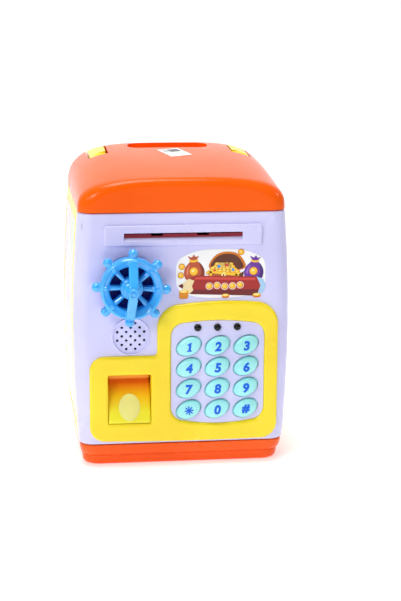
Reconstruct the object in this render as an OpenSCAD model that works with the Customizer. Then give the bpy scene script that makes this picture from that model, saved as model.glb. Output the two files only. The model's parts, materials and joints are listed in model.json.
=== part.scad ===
/* [Body] */
// Width of the body at its fullest height
body_w = 129; // [127:0.5:131]
// Depth of the body, without the wheel
body_d = 116; // [115:0.5:117]
// Radius of the upright corners, seen from above
corner_r = 9; // [8:0.5:10]
// Thickness of the moulded walls
wall = 2.4; // [2:0.1:2.6]
// Height of the top of the base
base_top = 13.8; // [13.5:0.1:14]
// Height of the underside of the lid
lid_z = 154.4; // [154.2:0.1:154.6]
// Height of the crest of the lid
crest_z = 182; // [181:0.5:183]

/* [Door] */
// Gap between the door and the parts around it
door_gap = 0.4; // [0.3:0.1:0.5]
// Sideways place of the door hinge
hinge_x = 57.5; // [57.3:0.1:57.7]
// Radius of the hinge pins
hinge_pin_r = 1.8; // [1.6:0.1:2]

/* [Wheel] */
// Sideways place of the wheel's centre
wheel_x = -31.2; // [-32:0.1:-31]
// Height of the wheel's centre
wheel_z = 111.5; // [111:0.1:112]
// Radius out to the tips of the grips
wheel_tip_r = 23.2; // [22.6:0.1:23.4]

/* [Keys] */
// Distance between columns of keys
key_pitch_x = 17.12; // [16.9:0.02:17.4]
// Distance between rows of keys
key_pitch_z = 13; // [12.9:0.1:13.1]
// Tilt of each oval key
key_tilt = 25; // [20:1:30]
// How far a key goes in when pressed
key_travel = 1.2; // [1:0.1:1.2]

/* [Hidden] */
$fn = 48;

// Body
front_y = -body_d / 2;
side_r = 803;
bulge_z = 82;
panel_t = 0.8;
panel_z = [22, 146];
panel_y = [-36, 48];

// Door
door_z = [base_top + door_gap, lid_z - door_gap];
door_back_y = front_y + corner_r;
hinge_y = -50;
hinge_pin_z = 8.6;
barrel_r = body_w / 2 - hinge_x;
scoop_r = barrel_r + 1.3;
door_in_y = front_y + wall;
box_x = [-55, 50];
box_z = [20, 147];
box_wall = 2;
box_back_y = -33;
cover_t = 2;
post_r = 2.6;
post_bore_r = 1.2;

// Tiers of the base: how far each is brought in at the sides and at the front, then its bottom and top
base_tiers = [[3, 5.6, 1, 2.6], [2.2, 4.4, 2.6, 6.2], [2.6, 4.8, 6.2, 6.6], [1.6, 2.8, 6.6, 8.4],
    [0.8, 1.4, 8.4, 10.4], [0.5, 0.5, 10.4, base_top]];

// Screw tabs in the corners of the casing
tab_at = [[-54, -41], [54.5, -33], [-52, 48], [52, 48]];
tab_t = 3.4;
screw_r = 1.5;
screw_head_r = 2.7;
screw_head_t = 2.2;

// Lid
crest_y = 37;
front_rise = 8.5;
rear_drop = 10;
lid_half_w = 61.3;
lid_edge_r = 4;
arm_x = [39.5, 49.5];
arm_y = 12;
arm_bottom_z = 169;
arm_side_gap = 1.2;
pivot_y = 19;
grip_swing_r = 24.3;
grip_y = pivot_y + grip_swing_r;
grip_bottom_z = 166;
grip_side_gap = 3.5;
handle_gap = 0.35;
pivot = [pivot_y, 171.6];
handle_pin_r = 1.5;
handle_pin_x = [36.2, 52.6];
dish_x = 25;
dish_y = [18.5, 37];
dish_r = 7;
dish_screw_at = [[-18.3, 29], [18.3, 29]];
dish_screw_r = 0.8;
dish_head_r = 1.5;
dish_head_t = 1;
dish_floor_z = 175.5;
dish_screw_len = 5;
coin_slot = [27, 3.2];
coin_slot_y = dish_y[1] - 4.1;
label_at = [1.7, 3];
label_size = [14, 20.5];
label_turn = 20;
label_t = 0.15;

// Front face
trim_t = 2;
plate_t = 1.2;
window_x = [-44.5, -18.9];
window_z = [27, 57];
pocket_wall = 1.8;
pocket_back_y = -42;
slot_w = 69.7;
slot_h = 2.8;
slot_z = 141;
bezel_x = 46.5;
bezel_z = [134.75, 146.9];
bezel_t = 1.6;
speaker_at = [-30.9, 80.4];
speaker_r = 11.1;
speaker_hole_r = 0.7;
speaker_pitch = [5.3, 2.6];
led_x = [8.8, 20.6, 32.4];
led_z = 84.9;
led_r = 2;
sticker_at = [22.35, 117.1];
sticker_half = [26.6, 14.1];
sticker_t = 0.2;

// Keys, counted from the top left
key_x0 = 3.5;
key_z0 = 73.8;
key_a = 7.3;
key_b = 5.2;
key_gap = 0.3;
key_edge = 0.5;
key_front_y = front_y - plate_t - 2.6;
stem_r = 3;
key_flange_y = front_y + 0.2;

// Ship's wheel: depths of its back and face, then the radii of its parts
wheel_back_y = front_y - 4.2;
wheel_face_y = front_y - 13;
wheel_turned = 3;
rim_r = 18.3;
rim_bore_r = 13;
rim_dish_r = 17.4;
rim_dish_t = 2;
grip_r = 2.8;
spoke_half = 1.1;
bridge_half = 2.75;
bridge_rise = 10.5;
cap_r = 3.1;
cap_t = 2;
dimple_r = 1.7;

// Latch
shaft_r = 2.2;
run_gap = 0.05;
gear_module = 0.8;
bolt_teeth = 10;
bolt_pitch_r = gear_module * bolt_teeth / 2;
bolt_y = [-44, -38];
bolt_z = [wheel_z + bolt_pitch_r + 0.95, wheel_z + bolt_pitch_r + 4.95];
bolt_x = [-54.8, -6];
bolt_gap = 0.3;

// Banknote feed
feed_y = -44;
feed_z = 134.9;
feed_r = 5.5;
feed_teeth = 22;
motor_teeth = 12;
motor_z = feed_z - gear_module * (feed_teeth + motor_teeth) / 2;
pinch_r = 1.9;
pinch_z = feed_z + feed_r + 0.4 + pinch_r;
roller_x = [-30, -10, 10, 30];
roller_w = 10;
feed_shaft_r = 1.5;
pinch_shaft_r = 1;
bracket_x = 37;
bracket_t = 3;
gear_x = [41.3, 45.7];

// Battery box
cell_r = 7.25;
cell_len = 50.5;
cell_x0 = -10.6;
cell_y = -42.4;
cell_z = [34, 50, 66];
contact_t = 1;
tray_t = 1.5;
tray_z = [26, 74];

// Points along an arc
function arc(c, r, a0, a1, n = 8) =
    [for (i = [0:n]) c + r * [cos(a0 + (a1 - a0) * i / n), sin(a0 + (a1 - a0) * i / n)]];

// Points of a gentle bow from a to b, without its two ends
function bow(a, b, rise, n = 6) =
    [for (i = [1:n - 1]) a + (b - a) * i / n + [0, rise * 4 * (i / n) * (1 - i / n)]];

// Outline of a rectangle with round corners, centred
function round_rect(w, d, r, n = 8) = concat(
    arc([w / 2 - r, d / 2 - r], r, 0, 90, n),
    arc([r - w / 2, d / 2 - r], r, 90, 180, n),
    arc([r - w / 2, r - d / 2], r, 180, 270, n),
    arc([w / 2 - r, r - d / 2], r, 270, 360, n));

// Outline of a tilted oval
function oval(a, b, tilt, n = 32) = [for (i = [0:n - 1])
    let (t = 360 * i / n)
    [a * cos(t) * cos(tilt) - b * sin(t) * sin(tilt), a * cos(t) * sin(tilt) + b * sin(t) * cos(tilt)]];

// A sideways range, or its mirror image on the other side
function mirrored(x, side) = side > 0 ? x : [-x[1], -x[0]];

// Extrudes an outline drawn in X and Z between two depths
module front_slab(points, y0, y1) {
    translate([0, y1, 0])
        rotate([90, 0, 0])
            linear_extrude(y1 - y0)
                polygon(points);
}

// Extrudes an outline drawn in Y and Z between two sideways places
module side_slab(points, x0, x1) {
    translate([x0, 0, 0])
        rotate([90, 0, 90])
            linear_extrude(x1 - x0)
                polygon(points);
}

// Box from two corners given as ranges
module box(x, y, z) {
    translate([x[0], y[0], z[0]])
        cube([x[1] - x[0], y[1] - y[0], z[1] - z[0]]);
}

// Cylinder along Y between two depths
module rod_y(r, at, y0, y1) {
    translate([at[0], y1, at[1]])
        rotate([90, 0, 0])
            cylinder(h = y1 - y0, r = r);
}

// Cylinder along X between two sideways places
module rod_x(r, at, x0, x1) {
    translate([x0, at[0], at[1]])
        rotate([0, 90, 0])
            cylinder(h = x1 - x0, r = r);
}

// Cylinder along Z between two heights
module rod_z(r, at, z0, z1) {
    translate([at[0], at[1], z0])
        cylinder(h = z1 - z0, r = r);
}

// The side surfaces: two very large cylinders
module bulge(side, inset) {
    translate([side * (body_w / 2 - inset - side_r), 0, bulge_z])
        rotate([90, 0, 0])
            cylinder(h = 2 * body_d, r = side_r, center = true, $fn = 720);
}

// Block with the bulged sides and round corners of the body, brought in all round by inset
module body_block(inset, y, z) {
    intersection() {
        translate([0, 0, z[0]])
            linear_extrude(z[1] - z[0])
                polygon(round_rect(body_w + 0.6 - 2 * inset, body_d - 2 * inset, corner_r - inset));
        box([-body_w, body_w], y, [z[0] - 1, z[1] + 1]);
        bulge(-1, inset);
        bulge(1, inset);
    }
}

// Solid skinned over closed rings of points, all with the same number of points
module skin(rings) {
    n = len(rings[0]);
    last = len(rings) - 1;
    points = [for (ring = rings) for (p = ring) p];
    sides = [for (j = [0:last - 1]) for (i = [0:n - 1])
        let (k = (i + 1) % n)
        each [[j * n + i, (j + 1) * n + k, j * n + k], [j * n + i, (j + 1) * n + i, (j + 1) * n + k]]];
    start = [for (i = [0:n - 1]) i];
    end = [for (i = [n - 1:-1:0]) last * n + i];
    polyhedron(points, concat([start], sides, [end]), convexity = 6);
}

// Height of the lid along its centre line
function crest(y) = y < crest_y
    ? crest_z - front_rise * pow((crest_y - y) / (crest_y + body_d / 2), 1.8)
    : crest_z - rear_drop * pow((y - crest_y) / (body_d / 2 - crest_y), 2);

// How far a quarter round of radius r has fallen away, d in from the edge
function round_off(r, d) = d >= r ? 0 : r - sqrt(max(0, r * r - (r - d) * (r - d)));

// Exponent of the lid's cross curve: softer at the front than on top
function arch_power(y) = y > 0 ? 3.8 : 3.8 + 0.9 * y / (body_d / 2);

// One upright section of the lid, brought in by inset
function lid_ring(y, inset, n = 24) =
    let (edge = body_d / 2 - inset - abs(y))
    let (half = lid_half_w - inset - round_off(corner_r - inset, edge))
    let (high = crest(y) - lid_z - inset - round_off(lid_edge_r, edge))
    let (power = arch_power(y))
    [for (i = [0:n])
        let (t = 180 - 180 * i / n)
        [half * sign(cos(t)) * pow(abs(cos(t)), 2 / power), y,
            lid_z + high * pow(max(0, sin(t)), 2 / 3)]];

// Places along the depth at which the lid's sections stand
function lid_stations(inset) =
    let (e = body_d / 2 - inset)
    concat([for (d = [0, 0.3, 1, 2.2, 4, 6.5, 9]) d - e],
        [-35, -20, -5, 8, 20, 30, 38, 44],
        [for (d = [9, 6.5, 4, 2.2, 1, 0.3, 0]) e - d]);

// Height of a dish screw's top, on the dish's ramp
function dish_screw_top(y) =
    let (start = crest(dish_y[0]))
    let (t = (y - dish_y[0]) / (dish_y[1] - 5 - dish_y[0]))
    start + (dish_floor_z - start) * t + 0.6;

// The whole form of the lid, brought in by inset
module lid_form(inset) {
    skin([for (y = lid_stations(inset)) lid_ring(y, inset)]);
}

module base_tray() {
    color([1, 0.4, 0.17]) difference() {
        union() {
            for (tier = base_tiers)
                base_step([tier[0], tier[1]], [tier[2], tier[3]]);
        }
        difference() {
            linear_extrude(base_top - wall)
                polygon(round_rect(body_w - 22, body_d - 22, corner_r));
            for (at = tab_at)
                rod_z(screw_head_r + 2.3, at, 0, base_top);
        }
        for (at = tab_at) {
            rod_z(screw_r, at, 0, base_top + 1);
            rod_z(screw_head_r + 0.4, at, -1, base_top - wall);
        }
        rod_z(hinge_pin_r, [hinge_x, hinge_y], hinge_pin_z, base_top + 1);
    }
}

// One tier of the base, brought in by inset
module base_step(inset, z) {
    translate([0, 0, z[0]])
        linear_extrude(z[1] - z[0])
            polygon(round_rect(body_w - 6 - 2 * inset[0], body_d - 2 * inset[1], corner_r));
}

module base_plate() {
    color([1, 0.4, 0.17])
        linear_extrude(1)
            polygon(round_rect(body_w - 15, body_d - 14, corner_r));
}

// Pan-head screw pointing up, with its head under height z
module screw_up(at, z, length) {
    rod_z(screw_head_r, at, z - screw_head_t, z);
    rod_z(screw_r, at, z, z + length);
}

module base_screws() {
    color("silver")
        for (at = tab_at)
            screw_up(at, base_top - wall, wall + tab_t - 0.4);
}

module lid_screws() {
    color("silver")
        for (at = tab_at)
            screw_up(at, lid_z - tab_t, tab_t + 5);
}

module dish_screws() {
    color("silver")
        for (at = dish_screw_at) {
            top = dish_screw_top(at[1]);
            rod_z(dish_head_r, at, top - dish_head_t, top);
            rod_z(dish_screw_r, at, top - dish_screw_len, top);
        }
}

module casing_shell() {
    z = [base_top, lid_z];
    color([1, 0.86, 0.2]) difference() {
        union() {
            difference() {
                body_block(0, [door_back_y + 0.5, body_d / 2], z);
                body_block(wall, [front_y, body_d / 2], [z[0] - 1, z[1] + 1]);
            }
            intersection() {
                body_block(wall / 2, [door_back_y + 0.5, body_d / 2], z);
                union() {
                    for (at = tab_at)
                        corner_tabs(at, z);
                    box([-70, -57.3], [-47, -34], [113, 123.5]);
                }
            }
        }
        rod_z(scoop_r, [hinge_x, hinge_y], z[0] - 1, z[1] + 1);
        for (at = tab_at)
            rod_z(screw_r, at, z[0] - 1, z[1] + 1);
        box([-62.3, -57], bolt_y + [-bolt_gap, bolt_gap], bolt_z + [-bolt_gap, bolt_gap]);
        for (side = [-1, 1])
            side_panel_form(side, 0.1);
    }
}

// The two tabs of one corner, at the foot and at the top
module corner_tabs(at, z) {
    out = sign(at[0]);
    x = out > 0 ? [at[0] - 4.5, 70] : [-70, at[0] + 4.5];
    y = [at[1] - 4.5, at[1] + 4.5];
    box(x, y, [z[0], z[0] + tab_t]);
    box(x, y, [z[1] - tab_t, z[1]]);
}

// A side panel: a thin curved sheet let into the side of the casing
module side_panel_form(side, gap) {
    intersection() {
        difference() {
            bulge(side, 0);
            bulge(side, panel_t);
        }
        box(side > 0 ? [0, 70] : [-70, 0], panel_y + [-gap, gap], panel_z + [-gap, gap]);
    }
}

module side_panel_left() {
    color([0.94, 0.9, 0.96])
        side_panel_form(-1, 0);
}

module side_panel_right() {
    color([0.94, 0.9, 0.96])
        side_panel_form(1, 0);
}

module lid() {
    color([1, 0.37, 0.06]) difference() {
        union() {
            difference() {
                lid_form(0);
                lid_form(wall);
                box([-57, 57], [-53, 53], [lid_z - 1, lid_z + 5]);
            }
            intersection() {
                lid_form(0.3);
                lid_inner_blocks();
            }
        }
        for (side = [-1, 1])
            arm_channel(side);
        grip_channel();
        dish_cut();
        for (at = tab_at)
            rod_z(screw_r, at, lid_z - 1, lid_z + 5.5);
        rod_z(hinge_pin_r, [hinge_x, hinge_y], lid_z - 1, lid_z + 6);
        for (side = [-1, 1])
            rod_x(handle_pin_r, pivot, mirrored(handle_pin_x, side)[0], mirrored(handle_pin_x, side)[1]);
    }
}

// Solid blocks inside the lid around its channels, dish, screws and hinge pin
module lid_inner_blocks() {
    for (side = [-1, 1])
        translate([side * (arm_x[0] + arm_x[1]) / 2, 0, 0])
            box([-8.5, 8.5], [8, body_d / 2], [lid_z + 6, crest_z]);
    box([-arm_x[1] - 6, arm_x[1] + 6], [grip_y - 5, body_d / 2], [lid_z + 2, crest_z]);
    box([-dish_x - 2, dish_x + 2], [dish_y[0] - 3, dish_y[1] + 2], [dish_floor_z - 2.2, crest_z]);
    for (at = tab_at)
        rod_z(4.5, at, lid_z, lid_z + 8);
    rod_z(6, [hinge_x - 2.5, hinge_y + 2.5], lid_z, lid_z + 8);
}

// The cut for one arm of the handle, deep and round about its pivot
module arm_channel(side) {
    mid = side * (arm_x[0] + arm_x[1]) / 2;
    half = (arm_x[1] - arm_x[0]) / 2 + arm_side_gap;
    end_r = pivot[0] - arm_y + 1.4;
    box([mid - half, mid + half], [pivot[0], body_d], [arm_bottom_z - handle_gap, crest_z + 5]);
    rod_x(end_r, pivot, mid - half, mid + half);
    box([mid - half, mid + half], [pivot[0] - end_r, pivot[0]], [pivot[1], crest_z + 5]);
}

// The cut across the back for the grip, with a hollow under it for the fingers
module grip_channel() {
    x = arm_x[1] + grip_side_gap;
    difference() {
        box([-x, x], [grip_y - 6, body_d], [grip_bottom_z - handle_gap, crest_z + 5]);
        rod_x(grip_swing_r - handle_gap, pivot, -x - 1, x + 1, $fn = 180);
    }
    box([-22, 22], [grip_y + 1, body_d], [grip_bottom_z - 7, grip_bottom_z]);
}

// The coin dish: a ramp down to a slot in front of a low wall
module dish_cut() {
    ramp = [
        [dish_y[0], crest_z + 5],
        [dish_y[0], crest(dish_y[0]) - 0.3],
        [dish_y[1] - 5, dish_floor_z],
        [dish_y[1], dish_floor_z],
        [dish_y[1], crest_z + 5]
    ];
    intersection() {
        side_slab(ramp, -dish_x, dish_x);
        translate([0, (dish_y[0] + dish_y[1]) / 2, dish_floor_z - 1])
            linear_extrude(crest_z - dish_floor_z + 8)
                polygon(round_rect(2 * dish_x, dish_y[1] - dish_y[0], dish_r));
    }
    for (at = dish_screw_at) {
        rod_z(dish_screw_r, at, dish_screw_top(at[1]) - dish_screw_len, crest_z);
        rod_z(dish_head_r + run_gap, at, dish_screw_top(at[1]) - dish_head_t, crest_z);
    }
    box([-coin_slot[0] / 2, coin_slot[0] / 2], [coin_slot_y, coin_slot_y + coin_slot[1]],
        [dish_floor_z - 9, crest_z]);
}

module lid_label() {
    color("white") difference() {
        intersection() {
            lid_form(-label_t);
            translate([label_at[0], label_at[1], lid_z + 5])
                rotate([0, 0, label_turn])
                    box(label_size[0] * [-0.5, 0.5], label_size[1] * [-0.5, 0.5], [0, crest_z - lid_z]);
        }
        lid_form(0);
    }
}

module hinge_pins() {
    color("silver") {
        rod_z(hinge_pin_r, [hinge_x, hinge_y], hinge_pin_z, door_z[0] + 8);
        rod_z(hinge_pin_r, [hinge_x, hinge_y], door_z[1] - 8, lid_z + 6);
    }
}

module handle() {
    x = arm_x[1];
    color([1, 0.88, 0.25]) difference() {
        intersection() {
            lid_form(0);
            union() {
                for (side = [-1, 1])
                    handle_arm(side);
                difference() {
                    box([-x, x], [grip_y - 6, body_d / 2], [grip_bottom_z, crest_z]);
                    rod_x(grip_swing_r, pivot, -x - 1, x + 1, $fn = 180);
                }
            }
        }
        for (side = [-1, 1])
            rod_x(handle_pin_r + run_gap, pivot, mirrored(arm_x, side)[0] - 1, mirrored(arm_x, side)[1] + 1);
    }
}

// One arm of the handle, with a round end about its pivot
module handle_arm(side) {
    x = mirrored(arm_x, side);
    box(x, [pivot[0], grip_y + 2], [arm_bottom_z, crest_z]);
    rod_x(pivot[0] - arm_y, pivot, x[0], x[1]);
}

module handle_pins() {
    color("silver")
        for (side = [-1, 1])
            rod_x(handle_pin_r, pivot, mirrored(handle_pin_x, side)[0], mirrored(handle_pin_x, side)[1]);
}

// Outline of the yellow panel on the door
function trim_outline() = concat(
    arc([-46.5, 25.2], 9, 180, 270),
    bow([-46.5, 16.2], [47, 15.6], -0.6),
    arc([47, 25.6], 10, 270, 360),
    arc([43, 86], 14, 0, 90),
    bow([43, 100], [-1, 99.4], 1.2),
    arc([-1, 85], 14.4, 90, 180),
    arc([-17.4, 70.6], 2, 0, -90, 4),
    arc([-46.5, 59.6], 9, 90, 180));

// Outline of the lilac plate that holds the keys
function plate_outline() = concat(
    arc([0.9, 36], 8, 180, 270),
    bow([0.9, 28], [40.7, 27.6], -1.9),
    arc([40.7, 35.6], 8, 270, 360),
    arc([40.7, 79.6], 8, 0, 90),
    bow([40.7, 87.6], [0.9, 88], 1.4),
    arc([0.9, 80], 8, 90, 180));

// Outline of the banknote slot's bezel
function bezel_outline() = [for (p = round_rect(2 * bezel_x, bezel_z[1] - bezel_z[0], 1.5, 4))
    p + [0, (bezel_z[0] + bezel_z[1]) / 2]];

module door_shell() {
    color([0.8, 0.8, 0.99]) difference() {
        union() {
            door_pan();
            door_box();
            rod_y(speaker_r + 0.5, speaker_at, front_y - 0.5, front_y + 1);
            rod_y(6, [wheel_x, wheel_z], door_in_y - 0.5, door_in_y + 7);
            box([-16, -14], [door_in_y - 0.5, -36], [112, 124]);
            for (at = door_posts())
                rod_y(post_r, at, door_in_y - 0.5, box_back_y);
        }
        rod_y(speaker_r, speaker_at, front_y - 1, front_y + 0.6);
        for (hole = speaker_holes())
            rod_y(speaker_hole_r, speaker_at + hole, front_y - 1, front_y + 4, $fn = 16);
        rod_y(shaft_r + run_gap, [wheel_x, wheel_z], front_y - 1, door_in_y + 8);
        box([-bezel_x + 10, bezel_x - 10], [front_y - 1, front_y + 4], [slot_z - 3.6, slot_z + 3.6]);
        box(window_x + [-2, 2], [front_y - 1, front_y + 4], window_z + [-2, 2]);
        box([-5.6, 47.2], [front_y - 1, front_y + 4], [28.3, 81]);
        for (x = led_x)
            rod_y(led_r + run_gap, [x, led_z], front_y - 1, front_y + 4);
        bolt_way([-60, 0]);
        for (z = [[door_z[0] - 1, door_z[0] + 8.2], [door_z[1] - 8.2, door_z[1] + 1]])
            rod_z(hinge_pin_r + run_gap, [hinge_x, hinge_y], z[0], z[1]);
        for (at = door_posts())
            rod_y(post_bore_r, at, box_back_y - 8, box_back_y + 1);
    }
}

// The way that the latch bolt slides in
module bolt_way(x) {
    box(x, bolt_y + [-bolt_gap, bolt_gap], bolt_z + [-bolt_gap, bolt_gap]);
}

// Front pan of the door with its rounded hinge edge
module door_pan() {
    difference() {
        intersection() {
            body_block(0, [front_y, body_d / 2], door_z);
            union() {
                box([-70, hinge_x], [front_y - 1, door_back_y], door_z);
                box([hinge_x - 1, 70], [front_y - 1, hinge_y], door_z);
                rod_z(barrel_r, [hinge_x, hinge_y], door_z[0], door_z[1], $fn = 96);
            }
        }
        box([-59.2, 50], [door_in_y, door_back_y + 1], door_z + [wall, -wall]);
    }
}

// Box on the back of the door that holds the works
module door_box() {
    difference() {
        box(box_x, [door_in_y - 0.5, box_back_y], box_z);
        box(box_x + [box_wall, -box_wall], [door_in_y, box_back_y + 1], box_z + [box_wall, -box_wall]);
    }
}

// Places of the screw posts inside the door
function door_posts() = [[-49.5, 25], [45.2, 24.8], [-48, 140], [44.5, 104]];

// Staggered rows of small holes
function speaker_holes() = [for (row = [-3:3])
    let (count = [2, 3, 4, 3, 4, 3, 2][row + 3])
    for (i = [0:count - 1])
        [(i - (count - 1) / 2) * speaker_pitch[0], row * speaker_pitch[1]]];

module slot_bezel() {
    throat = [for (p = round_rect(2 * bezel_x - 20.4, 7, 0.8, 3)) p + [0, slot_z]];
    color([0.82, 0.82, 0.99]) difference() {
        union() {
            front_slab(bezel_outline(), front_y - bezel_t, front_y);
            front_slab(throat, front_y - 0.1, front_y + 6);
        }
        box([-slot_w / 2, slot_w / 2], [front_y - 3, front_y + 7],
            [slot_z - slot_h / 2, slot_z + slot_h / 2]);
        slope = [
            [front_y - 2, slot_z - slot_h / 2 - 2.2],
            [front_y, slot_z - slot_h / 2],
            [front_y - 2, slot_z]
        ];
        side_slab(slope, -slot_w / 2, slot_w / 2);
    }
}

module trim_frame() {
    outer_x = window_x + [-pocket_wall, pocket_wall];
    outer_z = window_z + [-pocket_wall, pocket_wall];
    color([1, 0.88, 0.24]) difference() {
        union() {
            front_slab(trim_outline(), front_y - trim_t, front_y);
            box(outer_x, [front_y - 0.5, pocket_back_y], outer_z);
        }
        box(window_x, [front_y - 3, pocket_back_y - 2], window_z);
        rod_y(2.3, finger_stem_at(), pocket_back_y - 3, pocket_back_y + 1);
        front_slab(plate_outline(), front_y - 3, front_y + 1);
    }
}

module keypad_plate() {
    color([0.84, 0.84, 1]) difference() {
        front_slab(plate_outline(), front_y - plate_t, front_y);
        for (k = [0:11])
            translate([key_x(k), 0, key_z(k)])
                front_slab(oval(key_a + key_gap, key_b + key_gap, key_tilt), front_y - 3, front_y + 1);
        for (x = led_x)
            rod_y(led_r + run_gap, [x, led_z], front_y - 3, front_y + 1);
    }
}

// Place of each key, counted along the rows from the top left
function key_x(k) = key_x0 + (k % 3) * key_pitch_x;
function key_z(k) = key_z0 - floor(k / 3) * key_pitch_z;

// One key: a tilted oval cap, with a rim behind the plate that holds it in
module key_cap(k) {
    color([0.55, 0.93, 0.95])
        translate([key_x(k), 0, key_z(k)]) {
            front_slab(oval(key_a - key_edge, key_b - key_edge, key_tilt), key_front_y,
                key_front_y + key_edge);
            front_slab(oval(key_a, key_b, key_tilt), key_front_y + key_edge, key_flange_y + 0.1);
            front_slab(oval(key_a + 0.8, key_b - 0.2, key_tilt), key_flange_y, key_flange_y + 1);
        }
}

module indicator_leds() {
    color([0.08, 0.08, 0.1])
        for (x = led_x)
            intersection() {
                rod_y(led_r, [x, led_z], front_y - plate_t - 1.6, -53.7);
                translate([x, front_y - plate_t + 0.9, led_z])
                    union() {
                        sphere(r = 2.5);
                        translate([-3, 0, -3])
                            cube([6, 12, 6]);
                    }
            }
}

// Wavy edge of the die-cut sticker: how far it swings out at angle t
function sticker_wave(t) =
    1 + pow(sin(t), 2) * (t < 180 ? 0.05 * cos(4 * (t - 90)) : 0.015 * cos(6 * (t - 270)));

module front_sticker() {
    points = [for (i = [0:59])
        let (t = 6 * i)
        let (half = sticker_half * sticker_wave(t))
        sticker_at + [half[0] * sign(cos(t)) * pow(abs(cos(t)), 0.55),
            half[1] * sign(sin(t)) * pow(abs(sin(t)), 0.6)]];
    color("white")
        front_slab(points, front_y - sticker_t, front_y);
}

module speaker_driver() {
    color([0.2, 0.2, 0.22]) {
        rod_y(13.5, speaker_at, door_in_y, door_in_y + 3);
        rod_y(8, speaker_at, door_in_y + 3, door_in_y + 8);
    }
}

module circuit_board() {
    color([0.1, 0.4, 0.2])
        box([-5, 43], [-53.7, -52.2], [28, 90]);
}

module key_mat() {
    mat_y = [-54.5, -53.7];
    color([0.85, 0.85, 0.85]) {
        box([-5, 46.5], mat_y, [28.6, 80.5]);
        for (k = [0:11])
            rod_y(stem_r, [key_x(k), key_z(k)], key_flange_y + 1 + key_travel + 0.1, mat_y[0]);
    }
}

module finger_switch() {
    at = finger_stem_at();
    color([0.15, 0.15, 0.16]) {
        rod_y(1.5, at, pocket_back_y + 1, pocket_back_y + 2.2);
        box([at[0] - 3, at[0] + 3], [pocket_back_y + 2, pocket_back_y + 5], [at[1] - 3, at[1] + 3]);
        box([at[0] - 9, at[0] + 9], [pocket_back_y + 5, pocket_back_y + 6.4], [at[1] - 9, at[1] + 9]);
    }
}

// Where the stem of the finger plate goes through the pocket's back
function finger_stem_at() = [(window_x[0] + window_x[1]) / 2, 42];

// Side view of the ramp that the finger rests on
function ramp_outline() = [
    [-59.3, 27.4], [-58.7, 31], [-54.6, 44], [-48.9, 56.6], [-46.2, 56.6], [-52, 43], [-56.4, 27.4]
];

module finger_plate() {
    color([1, 0.9, 0.3]) difference() {
        union() {
            side_slab(ramp_outline(), window_x[0] + 0.3, window_x[1] - 0.3);
            rod_y(2, finger_stem_at(), -52.6, pocket_back_y - 0.3);
        }
        print_lens_form(0.02);
    }
}

// Oval lens let into the ramp, near its foot
module print_lens_form(gap) {
    translate([finger_stem_at()[0], -56.93, 36.6])
        rotate([-17.5, 0, 0])
            front_slab(oval(6.3 + gap, 8.2 + gap, 0), -0.3 - gap, 1 + gap);
}

module print_lens() {
    color([0.9, 0.95, 1])
        print_lens_form(0);
}

module battery_tray() {
    x = [cell_x0 - contact_t, cell_x0 + cell_len + contact_t];
    color([0.8, 0.8, 0.99]) difference() {
        box(x + [-tray_t, tray_t], [-51.2, box_back_y - 1], tray_z + [-tray_t, tray_t]);
        box(x, [-49.8, box_back_y + 1], tray_z);
    }
}

module battery_cells() {
    color([0.2, 0.2, 0.25])
        for (z = cell_z) {
            rod_x(cell_r, [cell_y, z], cell_x0, cell_x0 + cell_len - 1.2);
            rod_x(2.5, [cell_y, z], cell_x0 + cell_len - 1.2, cell_x0 + cell_len);
        }
}

module battery_contacts() {
    color("silver")
        for (z = cell_z, x = [cell_x0 - contact_t, cell_x0 + cell_len])
            box([x, x + contact_t], [cell_y - 4, cell_y + 4], [z - 4.5, z + 4.5]);
}

module battery_cover() {
    color([0.8, 0.8, 0.99]) {
        box([-13, 42.3], [box_back_y, box_back_y + cover_t], tray_z + [-2, 2]);
        for (z = [36, 40, 44])
            box([2, 27], [box_back_y + cover_t - 0.1, box_back_y + cover_t + 1], [z, z + 1.5]);
    }
}

module door_back_cover() {
    y = [box_back_y, box_back_y + cover_t];
    color([0.8, 0.8, 0.99]) difference() {
        union() {
            box(box_x, y, box_z);
            rod_y(5, [wheel_x, wheel_z], -36.8, y[0] + 0.1);
        }
        box([-13.4, 42.7], y + [-1, 1], tray_z + [-2.4, 2.4]);
        box([-slot_w / 2 - 1, slot_w / 2 + 1], y + [-1, 1], [slot_z - 3, slot_z + 2]);
        rod_y(shaft_r + run_gap, [wheel_x, wheel_z], -38, y[0] + 0.5);
        for (at = door_posts())
            rod_y(post_bore_r, at, y[0] - 1, y[1] + 1);
    }
}

module door_screws() {
    color("silver")
        for (at = door_posts()) {
            rod_y(post_bore_r, at, box_back_y - 7, box_back_y + cover_t);
            rod_y(2.3, at, box_back_y + cover_t, box_back_y + cover_t + 1.6);
        }
}

module wheel_backplate() {
    color([0.03, 0.07, 0.3])
        difference() {
            rod_y(rim_r - 0.8, [wheel_x, wheel_z], front_y - 1, front_y);
            rod_y(shaft_r + 1, [wheel_x, wheel_z], front_y - 2, front_y + 1);
        }
}

// Rim, eight grips, six thin spokes, a thick upright bridge and a stepped hub
module wheel() {
    color([0.2, 0.65, 1])
        difference() {
            translate([wheel_x, 0, wheel_z]) {
                wheel_rim();
                for (i = [0:7])
                    rotate([0, 45 * i + wheel_turned, 0])
                        grip();
                for (i = [0, 1, 3, 4, 5, 7])
                    rotate([0, 45 * i + wheel_turned, 0])
                        wheel_spoke();
                rotate([0, wheel_turned, 0])
                    wheel_bridge();
                for (step = [[6.6, -1.4], [5, 1.6], [3.6, bridge_rise]])
                    rod_y(step[0], [0, 0], wheel_face_y - step[1], wheel_back_y);
            }
            rod_y(shaft_r, [wheel_x, wheel_z], wheel_face_y - 1.6, wheel_back_y + 1);
        }
}

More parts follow.
